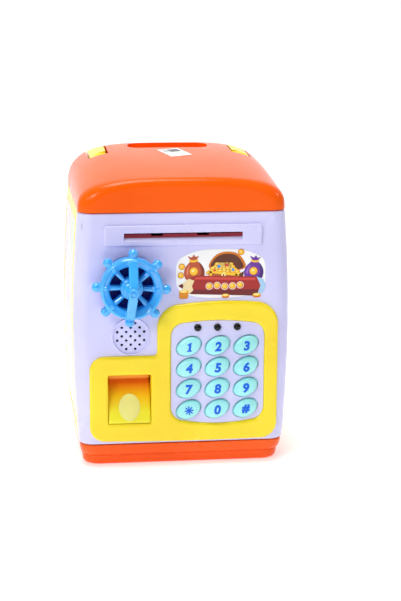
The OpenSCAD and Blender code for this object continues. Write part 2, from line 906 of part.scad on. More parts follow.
// The rim of the wheel, dished towards its hub
module wheel_rim() {
    difference() {
        rod_y(rim_r, [0, 0], wheel_face_y, wheel_back_y);
        rod_y(rim_bore_r, [0, 0], wheel_face_y - 1, wheel_back_y + 1);
        translate([0, wheel_face_y + rim_dish_t - 0.5, 0])
            rotate([90, 0, 0])
                cylinder(h = rim_dish_t, r1 = rim_bore_r, r2 = rim_dish_r);
    }
}

// One thin spoke of the wheel
module wheel_spoke() {
    box([4, rim_bore_r + 1], [wheel_face_y + 2.4, wheel_back_y - 0.4], [-spoke_half, spoke_half]);
}

// The upright bridge that arches from the rim out to the hub
module wheel_bridge() {
    half = [
        [-bridge_rise, 0],
        [-bridge_rise, 3.6],
        [-0.66 * bridge_rise, 8.5],
        [-0.31 * bridge_rise, 13.2],
        [-0.06 * bridge_rise, 17],
        [3, 17],
        [1, 13],
        [-0.3 * bridge_rise, 8],
        [-0.5 * bridge_rise, 0]
    ];
    for (side = [-1, 1])
        side_slab([for (p = half) [wheel_face_y + p[0], side * p[1]]], -bridge_half, bridge_half);
}

// One grip of the wheel
module grip() {
    root_r = rim_r - 1.3;
    end_r = wheel_tip_r - grip_r;
    mid_y = (wheel_back_y + wheel_face_y) / 2;
    translate([root_r, mid_y, 0])
        rotate([0, 90, 0])
            cylinder(h = end_r - root_r, r = grip_r);
    translate([end_r, mid_y, 0])
        sphere(r = grip_r);
}

module wheel_cap() {
    y = wheel_face_y - bridge_rise;
    color([0.25, 0.75, 1])
        difference() {
            rod_y(cap_r, [wheel_x, wheel_z], y - cap_t, y);
            rod_y(dimple_r, [wheel_x, wheel_z], y - cap_t - 1, y - cap_t + 1);
        }
}

module wheel_shaft() {
    color("silver")
        rod_y(shaft_r, [wheel_x, wheel_z], wheel_face_y - 1.4, box_back_y + 0.2);
}

// Half the angle that a tooth fills at radius rho; play thins the tooth
function tooth_half(rho, r, n, play) =
    let (base = r * cos(20))
    let (a = rho > base ? acos(base / rho) : 0)
    90 / n - play / 2 / r * 180 / PI + inv_deg(20) - inv_deg(a);

// Involute of an angle, in degrees
function inv_deg(a) = tan(a) * 180 / PI - a;

// Outline of a gear with involute teeth, the first tooth at angle phase
function gear_outline(n, up, down, phase, play = 0.12) =
    let (r = gear_module * n / 2)
    let (tip = r + up * gear_module)
    let (root = r - down * gear_module)
    let (start = max(root, r * cos(20)))
    let (steps = 4)
    [for (i = [0:n - 1])
        let (mid = phase + 360 * i / n)
        each concat(
            [for (s = [-1:steps])
                let (rho = s < 0 ? root : start + (tip - start) * s / steps)
                rho * [cos(mid - tooth_half(rho, r, n, play)), sin(mid - tooth_half(rho, r, n, play))]],
            [for (s = [steps:-1:-1])
                let (rho = s < 0 ? root : start + (tip - start) * s / steps)
                rho * [cos(mid + tooth_half(rho, r, n, play)), sin(mid + tooth_half(rho, r, n, play))]])];

// Drops a point that repeats the one before it
function tidy(points) = [for (i = [0:len(points) - 1])
    if (norm(points[i] - points[(i + 1) % len(points)]) > 0.01) points[i]];

module bolt_pinion() {
    y = bolt_y + [-0.5, 0.5];
    outline = tidy(gear_outline(bolt_teeth, 0.85, 0.95, 90 + 180 / bolt_teeth));
    color([0.95, 0.95, 0.9]) difference() {
        translate([wheel_x, 0, wheel_z])
            front_slab(outline, y[0], y[1]);
        rod_y(shaft_r, [wheel_x, wheel_z], y[0] - 1, y[1] + 1);
    }
}

// Latch bolt: a bar with rack teeth under it
module latch_bolt() {
    pitch = PI * gear_module;
    line_z = wheel_z + bolt_pitch_r;
    half = pitch / 4 - 0.1;
    slope = tan(20);
    color([0.95, 0.95, 0.9]) {
        box(bolt_x, bolt_y, bolt_z);
        for (i = [-2:4])
            translate([wheel_x + i * pitch, 0, line_z])
                front_slab([
                    [-half - 1.2 * slope, 1.2],
                    [-half + 0.4 * slope, -0.4],
                    [half - 0.4 * slope, -0.4],
                    [half + 1.2 * slope, 1.2]
                ], bolt_y[0], bolt_y[1]);
    }
}

module feed_shaft() {
    color("silver")
        rod_x(feed_shaft_r, [feed_y, feed_z], -bracket_x - bracket_t - 2, gear_x[1] + 0.8);
}

// A row of rollers on one shaft
module roller_row(r, bore, at) {
    for (x = roller_x)
        difference() {
            rod_x(r, at, x - roller_w / 2, x + roller_w / 2);
            rod_x(bore, at, x - roller_w, x + roller_w);
        }
}

module feed_rollers() {
    color([0.25, 0.1, 0.12])
        roller_row(feed_r, feed_shaft_r, [feed_y, feed_z]);
}

module pinch_shaft() {
    color("silver")
        rod_x(pinch_shaft_r, [feed_y, pinch_z], -bracket_x - bracket_t - 1, bracket_x + bracket_t + 1);
}

module pinch_rollers() {
    color([0.25, 0.1, 0.12])
        roller_row(pinch_r, pinch_shaft_r, [feed_y, pinch_z]);
}

module feed_gear() {
    color([0.95, 0.95, 0.9]) difference() {
        translate([0, feed_y, feed_z])
            side_slab(tidy(gear_outline(feed_teeth, 0.8, 1.1, -90)), gear_x[0], gear_x[1]);
        rod_x(feed_shaft_r, [feed_y, feed_z], gear_x[0] - 1, gear_x[1] + 1);
    }
}

module motor_pinion() {
    color([0.9, 0.75, 0.3]) {
        translate([0, feed_y, motor_z])
            side_slab(tidy(gear_outline(motor_teeth, 0.8, 1.1, 90 + 180 / motor_teeth)),
                gear_x[0], gear_x[1]);
        rod_x(1, [feed_y, motor_z], 28, gear_x[1]);
    }
}

module feed_motor() {
    color("silver") difference() {
        intersection() {
            rod_x(10, [feed_y, motor_z], 12, bracket_x);
            box([0, 60], [feed_y - 9.8, feed_y + 9.8], [motor_z - 7.6, motor_z + 7.6]);
        }
        rod_x(1 + run_gap, [feed_y, motor_z], 27, bracket_x + 1);
    }
}

// A bracket plate with bearings for the two roller shafts
module feed_bracket(x, low_z) {
    color([0.8, 0.8, 0.99]) difference() {
        box(x, [door_in_y, -36], [low_z, 145]);
        rod_x(feed_shaft_r + run_gap, [feed_y, feed_z], x[0] - 1, x[1] + 1);
        rod_x(pinch_shaft_r + run_gap, [feed_y, pinch_z], x[0] - 1, x[1] + 1);
        rod_x(2, [feed_y, motor_z], x[0] - 1, x[1] + 1);
    }
}

module feed_bracket_left() {
    feed_bracket([-bracket_x - bracket_t, -bracket_x], 126);
}

module feed_bracket_right() {
    feed_bracket([bracket_x, bracket_x + bracket_t], 112);
}

base_tray();
base_plate();
base_screws();
casing_shell();
side_panel_left();
side_panel_right();
lid();
lid_label();
lid_screws();
dish_screws();
hinge_pins();
handle();
handle_pins();
door_shell();
slot_bezel();
trim_frame();
keypad_plate();
indicator_leds();
wheel_backplate();
front_sticker();
speaker_driver();
circuit_board();
key_mat();
finger_switch();
battery_tray();
battery_cells();
battery_contacts();
door_back_cover();
door_screws();
feed_bracket_left();
feed_bracket_right();
feed_motor();
battery_cover();
finger_plate();
print_lens();
wheel();
wheel_cap();
wheel_shaft();
bolt_pinion();
latch_bolt();
feed_shaft();
feed_rollers();
feed_gear();
pinch_shaft();
pinch_rollers();
motor_pinion();
key_cap(0);  // key_1
key_cap(1);  // key_2
key_cap(2);  // key_3
key_cap(3);  // key_4
key_cap(4);  // key_5
key_cap(5);  // key_6
key_cap(6);  // key_7
key_cap(7);  // key_8
key_cap(8);  // key_9
key_cap(9);  // key_star
key_cap(10);  // key_0
key_cap(11);  // key_hash
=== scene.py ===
import json
import math
import random
from contextlib import contextmanager
import bmesh
import bpy
from mathutils import Matrix, Vector


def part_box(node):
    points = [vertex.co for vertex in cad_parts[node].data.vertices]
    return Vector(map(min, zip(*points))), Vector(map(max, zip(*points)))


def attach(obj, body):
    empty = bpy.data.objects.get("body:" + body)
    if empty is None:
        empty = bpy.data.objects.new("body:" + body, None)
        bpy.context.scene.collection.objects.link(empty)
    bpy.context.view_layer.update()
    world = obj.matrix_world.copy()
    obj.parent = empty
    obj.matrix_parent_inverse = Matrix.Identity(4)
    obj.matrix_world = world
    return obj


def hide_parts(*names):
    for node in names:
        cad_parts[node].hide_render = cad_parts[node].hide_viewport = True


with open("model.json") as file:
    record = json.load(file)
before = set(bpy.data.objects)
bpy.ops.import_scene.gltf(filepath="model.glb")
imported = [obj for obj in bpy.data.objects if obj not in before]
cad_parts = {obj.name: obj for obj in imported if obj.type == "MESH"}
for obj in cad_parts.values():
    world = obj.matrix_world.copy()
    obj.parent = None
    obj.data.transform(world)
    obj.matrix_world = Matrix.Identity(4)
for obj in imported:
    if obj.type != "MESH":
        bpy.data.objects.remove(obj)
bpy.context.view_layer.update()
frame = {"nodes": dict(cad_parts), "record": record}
NODES = frame["nodes"]
MM = 0.001


def span(node):
    """Lowest and highest corner of a CAD node, in millimetres."""
    low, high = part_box(node)
    return low / MM, high / MM


# ---------------------------------------------------------------- driving sizes, in millimetres
DOOR_LOW, DOOR_HIGH = span("door_shell")
CASING_LOW, CASING_HIGH = span("casing_shell")
LID_LOW, LID_HIGH = span("lid")
BASE_TOP = span("base_tray")[1].z
HALF_W = DOOR_HIGH.x
FRONT = LID_LOW.y
HALF_D = LID_HIGH.y
CORNER = 9.0
WALL = 2.4
SIDE_R = 803.0
BULGE_Z = 82.0
HINGE = (57.5, -50.0)
BARREL_R = HALF_W - HINGE[0]
SCOOP_R = BARREL_R + 1.3
DOOR_BACK = FRONT + CORNER
DOOR_IN = FRONT + WALL
BOX_BACK = -33.0
BOX_X = (-55.0, 50.0)
BOX_Z = (20.0, 147.0)
LID_Z = LID_LOW.z
CREST_Z = 182.0
CREST_Y = 37.0
LID_HALF = 61.3
PIVOT = (19.0, 171.6)
ARM_X = (39.5, 49.5)
SWING_R = 24.3
GRIP_Y = 43.3
ARM_BOTTOM, ARM_END_R = 169, 7
GRIP_BOTTOM = 166
GAP = 0.35
SIDE_GAP = 1.2
DISH_Y = (18.5, 37.0)
DISH_Z = 175.5
DISH_SCREWS = ((-18.3, 29), (18.3, 29))
WHEEL = (-31.2, 111.5)
WHEEL_BACK, WHEEL_FACE = FRONT - 4.2, FRONT - 13.0
GRIP_ANGLES = [45 * i + 87 for i in range(8)]
SPOKE_ANGLES = [angle for i, angle in enumerate(GRIP_ANGLES) if i not in (0, 4)]
SPEAKER = (-30.9, 80.4)
DOOR_POSTS = ((-49.5, 25), (45.2, 24.8), (-48, 140), (44.5, 104))
WINDOW_X = (-44.5, -18.9)
WINDOW_Z = (27.0, 57.0)
SLOT_HALF, SLOT_Z = 69.7 / 2, 141.0
SLOT_LOW, SLOT_TOP = SLOT_Z - 2.8 / 2, SLOT_Z + 2.8 / 2
KEY_A, KEY_B, KEY_TILT = 7.3, 5.2, 25
LAMP_X, LAMP_Z = (8.8, 20.6, 32.4), 84.9
KEY_FIRST, KEY_PITCH = (3.5, 73.8), (17.12, 13.0)
PLATE_FACE, TRIM_FACE = FRONT - 0.7, FRONT - 2
BOLT_Y, BOLT_Z = (-44.3, -37.7), (116.15, 120.75)
SIDES = (-1, 1)


# ---------------------------------------------------------------- mesh helpers
def linked(name, data):
    """An object for some data, put in the scene."""
    obj = bpy.data.objects.new(name, data)
    bpy.context.scene.collection.objects.link(obj)
    return obj


def discard(obj):
    """Removes an object and its mesh."""
    mesh = obj.data
    bpy.data.objects.remove(obj)
    bpy.data.meshes.remove(mesh)


@contextmanager
def editing(mesh):
    """Opens a mesh for editing, and writes it back afterwards."""
    bm = bmesh.new()
    bm.from_mesh(mesh)
    yield bm
    bm.to_mesh(mesh)
    bm.free()


def new_object(name, verts, faces):
    """An object from points in millimetres."""
    mesh = bpy.data.meshes.new(name)
    mesh.from_pydata([Vector(v) * MM for v in verts], [], faces)
    mesh.validate()
    obj = linked(name, mesh)
    fix_normals(obj)
    return obj


def fix_normals(obj):
    """Turns every face outward."""
    with editing(obj.data) as bm:
        bmesh.ops.recalc_face_normals(bm, faces=bm.faces)


def skin(name, rings):
    """A closed solid over rings of points, all with the same number of points."""
    n = len(rings[0])
    verts = [p for ring in rings for p in ring]
    faces = []
    for j in range(len(rings) - 1):
        for i in range(n):
            k = (i + 1) % n
            faces.append((j * n + i, j * n + k, (j + 1) * n + k, (j + 1) * n + i))
    faces.append(tuple(range(n - 1, -1, -1)))
    faces.append(tuple(range((len(rings) - 1) * n, len(rings) * n)))
    return new_object(name, verts, faces)


def box(x, y, z):
    """A box between two corners given as ranges."""
    ring = [(x[0], y[0]), (x[1], y[0]), (x[1], y[1]), (x[0], y[1])]
    return skin("box", [[(px, py, h) for px, py in ring] for h in z])


def turned(name, profile, axis, at, count=96):
    """A solid of revolution: profile is (radius, place along the axis), at is where the axis lies."""
    rings = []
    for r, t in profile:
        ring = []
        for i in range(count):
            a = 2 * math.pi * i / count
            u = max(r, 0.01) * math.cos(a)
            v = max(r, 0.01) * math.sin(a)
            if axis == "x":
                ring.append((t, at[0] + u, at[1] + v))
            elif axis == "y":
                ring.append((at[0] + u, t, at[1] + v))
            else:
                ring.append((at[0] + u, at[1] + v, t))
        rings.append(ring)
    return skin(name, rings)


def rod(name, axis, r, at, t, count=64):
    """A plain round bar, used to cut or to join."""
    return turned(name, [(r, t[0]), (r, t[1])], axis, at, count)


def counted(base, profile):
    """Profile points whose second place is counted from base."""
    return [(r, base + d) for r, d in profile]


def facing(outline, y):
    """An outline in X and Z, placed at a depth."""
    return [(x, y, z) for x, z in outline]


def slab(name, outline, y, axis="y"):
    """An outline in X and Z (or Y and Z) pushed through a depth."""
    if axis == "y":
        return skin(name, [facing(outline, d) for d in y])
    return skin(name, [[(d, px, pz) for px, pz in outline] for d in y])


def settle(obj):
    """Applies every modifier of obj to its mesh."""
    graph = bpy.context.evaluated_depsgraph_get()
    graph.update()
    mesh = bpy.data.meshes.new_from_object(obj.evaluated_get(graph))
    old = obj.data
    obj.modifiers.clear()
    obj.data = mesh
    bpy.data.meshes.remove(old)
    return obj


def modify(obj, kind, **settings):
    """Adds a modifier to obj with its settings, and applies it."""
    mod = obj.modifiers.new("step", kind)
    for key, value in settings.items():
        setattr(mod, key, value)
    return settle(obj)


def combine(obj, tools, how):
    """Boolean of obj with each tool in turn; the tools are used up."""
    for tool in tools:
        modify(obj, "BOOLEAN", operation=how, solver="EXACT", object=tool)
        discard(tool)
    return obj


def cut(obj, *tools):
    """Takes the tools away from obj."""
    return combine(obj, tools, "DIFFERENCE")


def add(obj, *tools):
    """Joins the tools to obj."""
    return combine(obj, tools, "UNION")


def keep(obj, *tools):
    """Leaves only what obj shares with the tools."""
    return combine(obj, tools, "INTERSECT")


def joined(name, parts):
    """One object holding several separate closed meshes."""
    bm = bmesh.new()
    for part in parts:
        bm.from_mesh(part.data)
        discard(part)
    mesh = bpy.data.meshes.new(name)
    bm.to_mesh(mesh)
    bm.free()
    return linked(name, mesh)


def weld(obj, distance=0.01):
    """Joins points closer than distance, in millimetres."""
    with editing(obj.data) as bm:
        bmesh.ops.remove_doubles(bm, verts=bm.verts, dist=distance * MM)
        bmesh.ops.dissolve_degenerate(bm, edges=bm.edges, dist=distance * MM)
    return obj


def soften(obj, width, angle=35, segments=3):
    """Rounds the sharp edges of obj, then shades it smooth."""
    weld(obj)
    modify(obj, "BEVEL", width=width * MM, segments=segments, limit_method="ANGLE",
           angle_limit=math.radians(angle), harden_normals=False, use_clamp_overlap=True)
    return smooth(obj)


def shade_round(obj):
    """Smooth shading on every face."""
    for poly in obj.data.polygons:
        poly.use_smooth = True
    return obj


def smooth(obj, angle=38):
    """Smooth shading, with edges sharper than angle left crisp."""
    shade_round(obj)
    limit = math.radians(angle)
    with editing(obj.data) as bm:
        for edge in bm.edges:
            edge.smooth = len(edge.link_faces) != 2 or edge.calc_face_angle(0) < limit
    mod = obj.modifiers.new("even_normals", "WEIGHTED_NORMAL")
    mod.keep_sharp = True
    mod.weight = 60
    return obj


def melted(name, parts, voxel, rounds):
    """Parts merged into one moulded form with soft inner corners."""
    obj = joined(name, parts)
    modify(obj, "REMESH", mode="VOXEL", voxel_size=voxel * MM)
    modify(obj, "SMOOTH", factor=0.5, iterations=rounds)
    return shade_round(obj)


def finish_piece(obj, name, material, body, slot, *nodes):
    """Names a piece, gives it its material and body, and hides the CAD nodes it stands for."""
    obj.name = name
    obj.data.name = name
    obj.data.materials.clear()
    obj.data.materials.append(material)
    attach(obj, body)
    if nodes:
        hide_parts(*nodes)
    return obj


# ---------------------------------------------------------------- outlines
def polar(r, a, at=(0, 0)):
    """The point at distance r and angle a from at."""
    return at[0] + r * math.cos(a), at[1] + r * math.sin(a)


def arc(cx, cz, r, a0, a1, n=10):
    """Points along an arc, in degrees."""
    return [polar(r, math.radians(a0 + (a1 - a0) * i / n), (cx, cz)) for i in range(n + 1)]


def bow(a, b, rise):
    """Points of a gentle bow from a to b, without its ends."""
    steps = [i / 12 for i in range(1, 12)]
    return [(a[0] + (b[0] - a[0]) * t, a[1] + (b[1] - a[1]) * t + 4 * rise * t * (1 - t)) for t in steps]


def round_rect(w, d, r, n=10, at=(0, 0)):
    """A rectangle with round corners, centred on at."""
    x, z = at
    left, right, low, high = x - w / 2 + r, x + w / 2 - r, z - d / 2 + r, z + d / 2 - r
    return (arc(right, high, r, 0, 90, n) + arc(left, high, r, 90, 180, n)
            + arc(left, low, r, 180, 270, n) + arc(right, low, r, 270, 360, n))


def oval(a, b, tilt=0, n=72, at=(0, 0)):
    """A tilted oval."""
    c, s = math.cos(math.radians(tilt)), math.sin(math.radians(tilt))
    steps = [2 * math.pi * i / n for i in range(n)]
    return [(at[0] + a * math.cos(t) * c - b * math.sin(t) * s,
             at[1] + a * math.cos(t) * s + b * math.sin(t) * c) for t in steps]


def trim_outline():
    """The yellow panel on the door."""
    return (arc(-46.5, 25.2, 9, 180, 270) + bow((-46.5, 16.2), (47, 15.6), -0.6)
            + arc(47, 25.6, 10, 270, 360) + arc(43, 86, 14, 0, 90) + bow((43, 100), (-1, 99.4), 1.2)
            + arc(-1, 85, 14.4, 90, 180) + arc(-17.4, 70.6, 2, 0, -90, 6) + arc(-46.5, 59.6, 9, 90, 180))


def plate_outline():
    """The lilac plate that holds the keys."""
    return (arc(0.9, 36, 8, 180, 270) + bow((0.9, 28), (40.7, 27.6), -1.9) + arc(40.7, 35.6, 8, 270, 360)
            + arc(40.7, 79.6, 8, 0, 90) + bow((40.7, 87.6), (0.9, 88), 1.4) + arc(0.9, 80, 8, 90, 180))


# ---------------------------------------------------------------- materials
def node_material(name):
    """A material with its nodes ready, and its main shader."""
    mat = bpy.data.materials.new(name)
    mat.use_nodes = True
    return mat, mat.node_tree, mat.node_tree.nodes["Principled BSDF"]


def wire(node, inputs):
    """Sets inputs of a node: a socket is linked, anything else is its value."""
    for name, value in inputs.items():
        if isinstance(value, bpy.types.NodeSocket):
            node.id_data.links.new(value, node.inputs[name])
        else:
            node.inputs[name].default_value = value


def add_node(tree, kind, output, inputs):
    """A new shader node with its inputs set; gives one of its outputs."""
    node = tree.nodes.new("ShaderNode" + kind)
    wire(node, inputs)
    return node.outputs[output]


def object_noise(tree, scale, detail, stretch=(1, 1, 1)):
    """Noise in the object's own space; scale is in features a metre."""
    coord = add_node(tree, "TexCoord", "Object", {})
    place = add_node(tree, "Mapping", "Vector", {"Vector": coord, "Scale": stretch})
    return add_node(tree, "TexNoise", "Fac", {"Vector": place, "Scale": scale, "Detail": detail})


def bands(tree, source, stops):
    """A colour from a value; stops are (place, colour)."""
    node = tree.nodes.new("ShaderNodeValToRGB")
    bars = node.color_ramp.elements
    bars[0].position, bars[-1].position = stops[0][0], stops[-1][0]
    for place, _ in stops[1:-1]:
        bars.new(place)
    for bar, (_, colour) in zip(bars, stops):
        bar.color = (*colour, 1)
    wire(node, {"Fac": source})
    return node.outputs["Color"]


def spread(tree, source, low, high, start=0.3, end=0.7):
    """Maps a value, most often noise, onto a range."""
    return add_node(tree, "MapRange", "Result", {"Value": source, "From Min": start, "From Max": end,
                                                 "To Min": low, "To Max": high})


def relief(tree, source, strength, depth):
    """Fine relief; depth is in millimetres."""
    return add_node(tree, "Bump", "Normal", {"Height": source, "Strength": strength, "Distance": depth * MM})


def linear(colour):
    """A screen colour, from 0 to 255, as a linear one."""
    shares = [c / 255 for c in colour]
    return tuple(c / 12.92 if c <= 0.04045 else ((c + 0.055) / 1.055) ** 2.4 for c in shares)


def times(colour, factor, lift=0.0):
    """A colour made darker or lighter, then lifted a little."""
    return tuple(c * factor + lift for c in colour)


def plastic(name, colour, rough=(0.16, 0.26), grain=0.04, drift=0.05, glow=0.0, shine=0.5):
    """Injection-moulded plastic: slight colour drift, uneven gloss and a fine moulded skin."""
    mat, tree, shader = node_material(name)
    dark = times(linear(colour), 1 - drift)
    light = tuple(min(1, c) for c in times(linear(colour), 1 + drift, 0.004))
    wire(shader, {"Base Color": bands(tree, object_noise(tree, 22, 3), [(0.35, dark), (0.65, light)]),
                  "Roughness": spread(tree, object_noise(tree, 60, 4), *rough),
                  "Normal": relief(tree, object_noise(tree, 1500, 2), 0.25, grain),
                  "IOR": 1.5, "Specular IOR Level": shine, "Subsurface Weight": glow,
                  "Subsurface Radius": (0.004, 0.002, 0.001), "Subsurface Scale": 0.5})
    return mat


def painted_shade_plastic(name, stops):
    """Plastic with painted shade: its colour is multiplied by a ramp over height, darker where shade falls;
    stops are heights in metres with colours.
    """
    mat = plastic(name, (246, 246, 246), rough=(0.24, 0.34), glow=0.05, shine=0.25)
    tree = mat.node_tree
    shader = next(n for n in tree.nodes if n.type == "BSDF_PRINCIPLED")
    low, high = stops[0][0], stops[-1][0]
    # Painted shade: a colour ramp over the object's height, multiplied into the base colour.
    coord = add_node(tree, "TexCoord", "Object", {})
    height = spread(tree, add_node(tree, "SeparateXYZ", "Z", {"Vector": coord}), 0, 1, low, high)
    shade = bands(tree, height, [((h - low) / (high - low), linear(c)) for h, c in stops])
    mix = tree.nodes.new("ShaderNodeMixRGB")
    mix.blend_type = "MULTIPLY"
    wire(mix, {"Fac": 1.0, "Color1": shader.inputs["Base Color"].links[0].from_socket, "Color2": shade})
    wire(shader, {"Base Color": mix.outputs["Color"]})
    return mat


def fine_surface(name, colour, noise, tones, rough, skin_relief, metallic=0.0):
    """A surface whose colour, gloss and relief follow one noise; tones are (place, factor, lift)."""
    mat, tree, shader = node_material(name)
    grain = object_noise(tree, *noise)
    stops = [(place, times(linear(colour), factor, lift)) for place, factor, lift in tones]
    wire(shader, {"Base Color": bands(tree, grain, stops), "Roughness": spread(tree, grain, *rough),
                  "Metallic": metallic, "Normal": relief(tree, grain, *skin_relief)})
    return mat


def metal(name, colour):
    """Bright metal with fine drawing marks."""
    tones = ((0.3, 0.86, 0), (0.7, 1, 0))
    return fine_surface(name, colour, (900, 3), tones, (0.2, 0.34), (0.2, 0.02), 1.0)


def rubber(name, colour):
    """Dull rubber with a dusty bloom."""
    tones = ((0.35, 1, 0), (0.75, 1.35, 0.01))
    return fine_surface(name, colour, (420, 6), tones, (0.5, 0.75), (0.35, 0.08))


def paper(name, colour):
    """Coated paper or film with a faint fibre."""
    tones = ((0.3, 0.96, 0), (0.7, 1, 0))
    return fine_surface(name, colour, (900, 5, (1, 1, 3)), tones, (0.32, 0.44), (0.15, 0.02))


def printed_scene(name):
    """Side panel print: soft drifting clouds of pale pink, green and blue, with small pale dots."""
    mat, tree, shader = node_material(name)
    clouds = bands(tree, object_noise(tree, 26, 3), [
        (0.3, linear((206, 222, 255))), (0.45, linear((240, 234, 240))),
        (0.55, linear((255, 206, 224))), (0.68, linear((206, 238, 208)))])
    coord = add_node(tree, "TexCoord", "Object", {})
    cells = add_node(tree, "TexVoronoi", "Distance", {"Vector": coord, "Scale": 70})
    dots = bands(tree, cells, [(0.16, (1, 1, 1)), (0.2, (0, 0, 0))])
    printed = add_node(tree, "MixRGB", "Color", {"Fac": dots, "Color1": clouds,
                                                 "Color2": (*linear((255, 214, 140)), 1)})
    wire(shader, {"Base Color": printed, "Roughness": spread(tree, object_noise(tree, 80, 3), 0.25, 0.36)})
    return mat


ORANGE = plastic("orange_plastic", (255, 94, 0), rough=(0.14, 0.22), glow=0.04, shine=0.17)
BASE_ORANGE = plastic("base_plastic", (255, 94, 20), rough=(0.2, 0.3), glow=0.04, shine=0.22)
YELLOW = plastic("yellow_plastic", (255, 222, 36), rough=(0.18, 0.28), glow=0.15, shine=0.4)
LILAC = plastic("lilac_plastic", (212, 210, 252), rough=(0.18, 0.28), glow=0.06)
BLUE = plastic("blue_plastic", (56, 174, 252), rough=(0.09, 0.16), glow=0.06, shine=1.0)
NAVY = plastic("navy_plastic", (6, 22, 112), rough=(0.25, 0.35), shine=0.2)
KEY = plastic("key_plastic", (160, 236, 238), rough=(0.22, 0.32), glow=0.04)
INK = plastic("key_ink", (0, 100, 226), rough=(0.35, 0.45), grain=0.02, shine=0.3)
# Painted shade and painted bounce light on the finger ramp: pale yellow at the foot, deep orange shade just
# under the pocket's top edge, and a lighter band at the very top.
RAMP_PAINTED_SHADE = painted_shade_plastic("ramp_painted_shade", [
    (0.034, (255, 244, 60)), (0.043, (255, 200, 18)), (0.0505, (232, 104, 0)), (0.0528, (232, 104, 0)),
    (0.0534, (255, 160, 40)), (0.057, (255, 164, 44))])
MAROON = plastic("maroon_plastic", (132, 22, 44), rough=(0.4, 0.5), shine=0.3)
BLACK = plastic("black_plastic", (6, 5, 8), rough=(0.06, 0.12), shine=0.3)
WHITE = plastic("white_plastic", (240, 240, 232), rough=(0.32, 0.42))
LENS = plastic("lens", (255, 236, 140), rough=(0.3, 0.45), glow=0.3, drift=0.1)
BOARD = plastic("board", (24, 104, 58), rough=(0.3, 0.42), drift=0.15)
STEEL = metal("steel", (196, 197, 202))
BRASS = metal("brass", (222, 182, 96))
DARK_RUBBER = rubber("dark_rubber", (96, 22, 34))
MAT_RUBBER = rubber("mat_rubber", (206, 206, 204))
LABEL = paper("paper_label", (250, 250, 250))
PRINT = printed_scene("printed_film")


def paint_frame_nodes():
    """Gives every CAD node that stays visible a worked material in place of its plain one."""
    by_slot = {"orange_plastic": ORANGE, "base_plastic": BASE_ORANGE, "yellow_plastic": YELLOW,
               "lilac_plastic": LILAC, "blue_plastic": BLUE, "navy_plastic": NAVY, "key_plastic": KEY,
               "printed_film": PRINT, "paper_label": LABEL, "steel": STEEL, "black_plastic": BLACK,
               "dark_rubber": DARK_RUBBER, "mat_rubber": MAT_RUBBER, "board": BOARD,
               "white_plastic": WHITE, "brass": BRASS, "lens": LENS}
    for sub in frame["record"]["subparts"]:
        obj = NODES[sub["node"]]
        obj.data.materials.clear()
        obj.data.materials.append(by_slot[sub["material_slot"]])


paint_frame_nodes()


# ---------------------------------------------------------------- the body's form
def round_off(r, d):
    """How far a quarter round of radius r has fallen away, d in from the edge."""
    return 0.0 if d >= r else r - math.sqrt(max(0.0, r * r - (r - d) ** 2))


def half_width(z, inset=0.0):
    """Half the width of the body at a height: its sides bulge gently."""
    return HALF_W - (SIDE_R - math.sqrt(SIDE_R ** 2 - (z - BULGE_Z) ** 2)) - inset


def plan_ring(half, depth, r, z):
    """One level ring of the body."""
    return [(x, y, z) for x, y in round_rect(2 * half, 2 * depth, r, 12)]


def body_block(z, inset, edge):
    """The bulged block of the body between two heights, with its level edges rounded."""
    levels = [0, 0.12, 0.35, 0.7, 1.2]
    heights = [z[0] + edge * t for t in levels]
    steps = 28
    heights += [z[0] + 1.4 * edge + (z[1] - z[0] - 2.8 * edge) * i / steps for i in range(steps + 1)]
    heights += [z[1] - edge * t for t in reversed(levels)]
    rings = []
    for h in heights:
        fall = inset + round_off(edge, min(h - z[0], z[1] - h))
        rings.append(plan_ring(half_width(h, fall), HALF_D - fall, CORNER - fall, h))
    return skin("body_block", rings)


def crest(y):
    """Height of the lid along its centre line."""
    if y < CREST_Y:
        return CREST_Z - 8.5 * ((CREST_Y - y) / (CREST_Y + HALF_D)) ** 1.8
    return CREST_Z - 10.0 * ((y - CREST_Y) / (HALF_D - CREST_Y)) ** 2


def lid_section(y, inset=0.0):
    """Half width, height and power of the curve of the lid's upright section at y."""
    edge = HALF_D - inset - abs(y)
    return (LID_HALF - inset - round_off(CORNER - inset, edge),
            crest(y) - LID_Z - inset - round_off(4.0, edge), 3.8 if y > 0 else 3.8 + 0.9 * y / HALF_D)


def lid_ring(y, inset, n):
    """One upright section of the lid."""
    half, high, power = lid_section(y, inset)
    ring = []
    for i in range(n + 1):
        t = math.pi - math.pi * i / n
        c, s = math.cos(t), max(0.0, math.sin(t))
        ring.append((half * math.copysign(abs(c) ** (2 / power), c), y, LID_Z + high * s ** (2 / 3)))
    return ring


def lid_form(inset=0.0, n=96):
    """The whole form of the lid, brought in by inset."""
    e = HALF_D - inset
    ends = [0, 0.08, 0.25, 0.5, 0.9, 1.5, 2.2, 3.0, 4.0, 5.2, 6.5, 7.8, 9.0]
    middle = [-45 + 90 * i / 36 for i in range(37)]
    stations = [d - e for d in ends] + middle + [e - d for d in reversed(ends)]
    return skin("lid_form", [lid_ring(y, inset, n) for y in stations])


def arm_span(side, grow=0.0):
    """The width that an arm of the handle takes, with grow on both sides."""
    return side * 44.5 - 5 - grow, side * 44.5 + 5 + grow


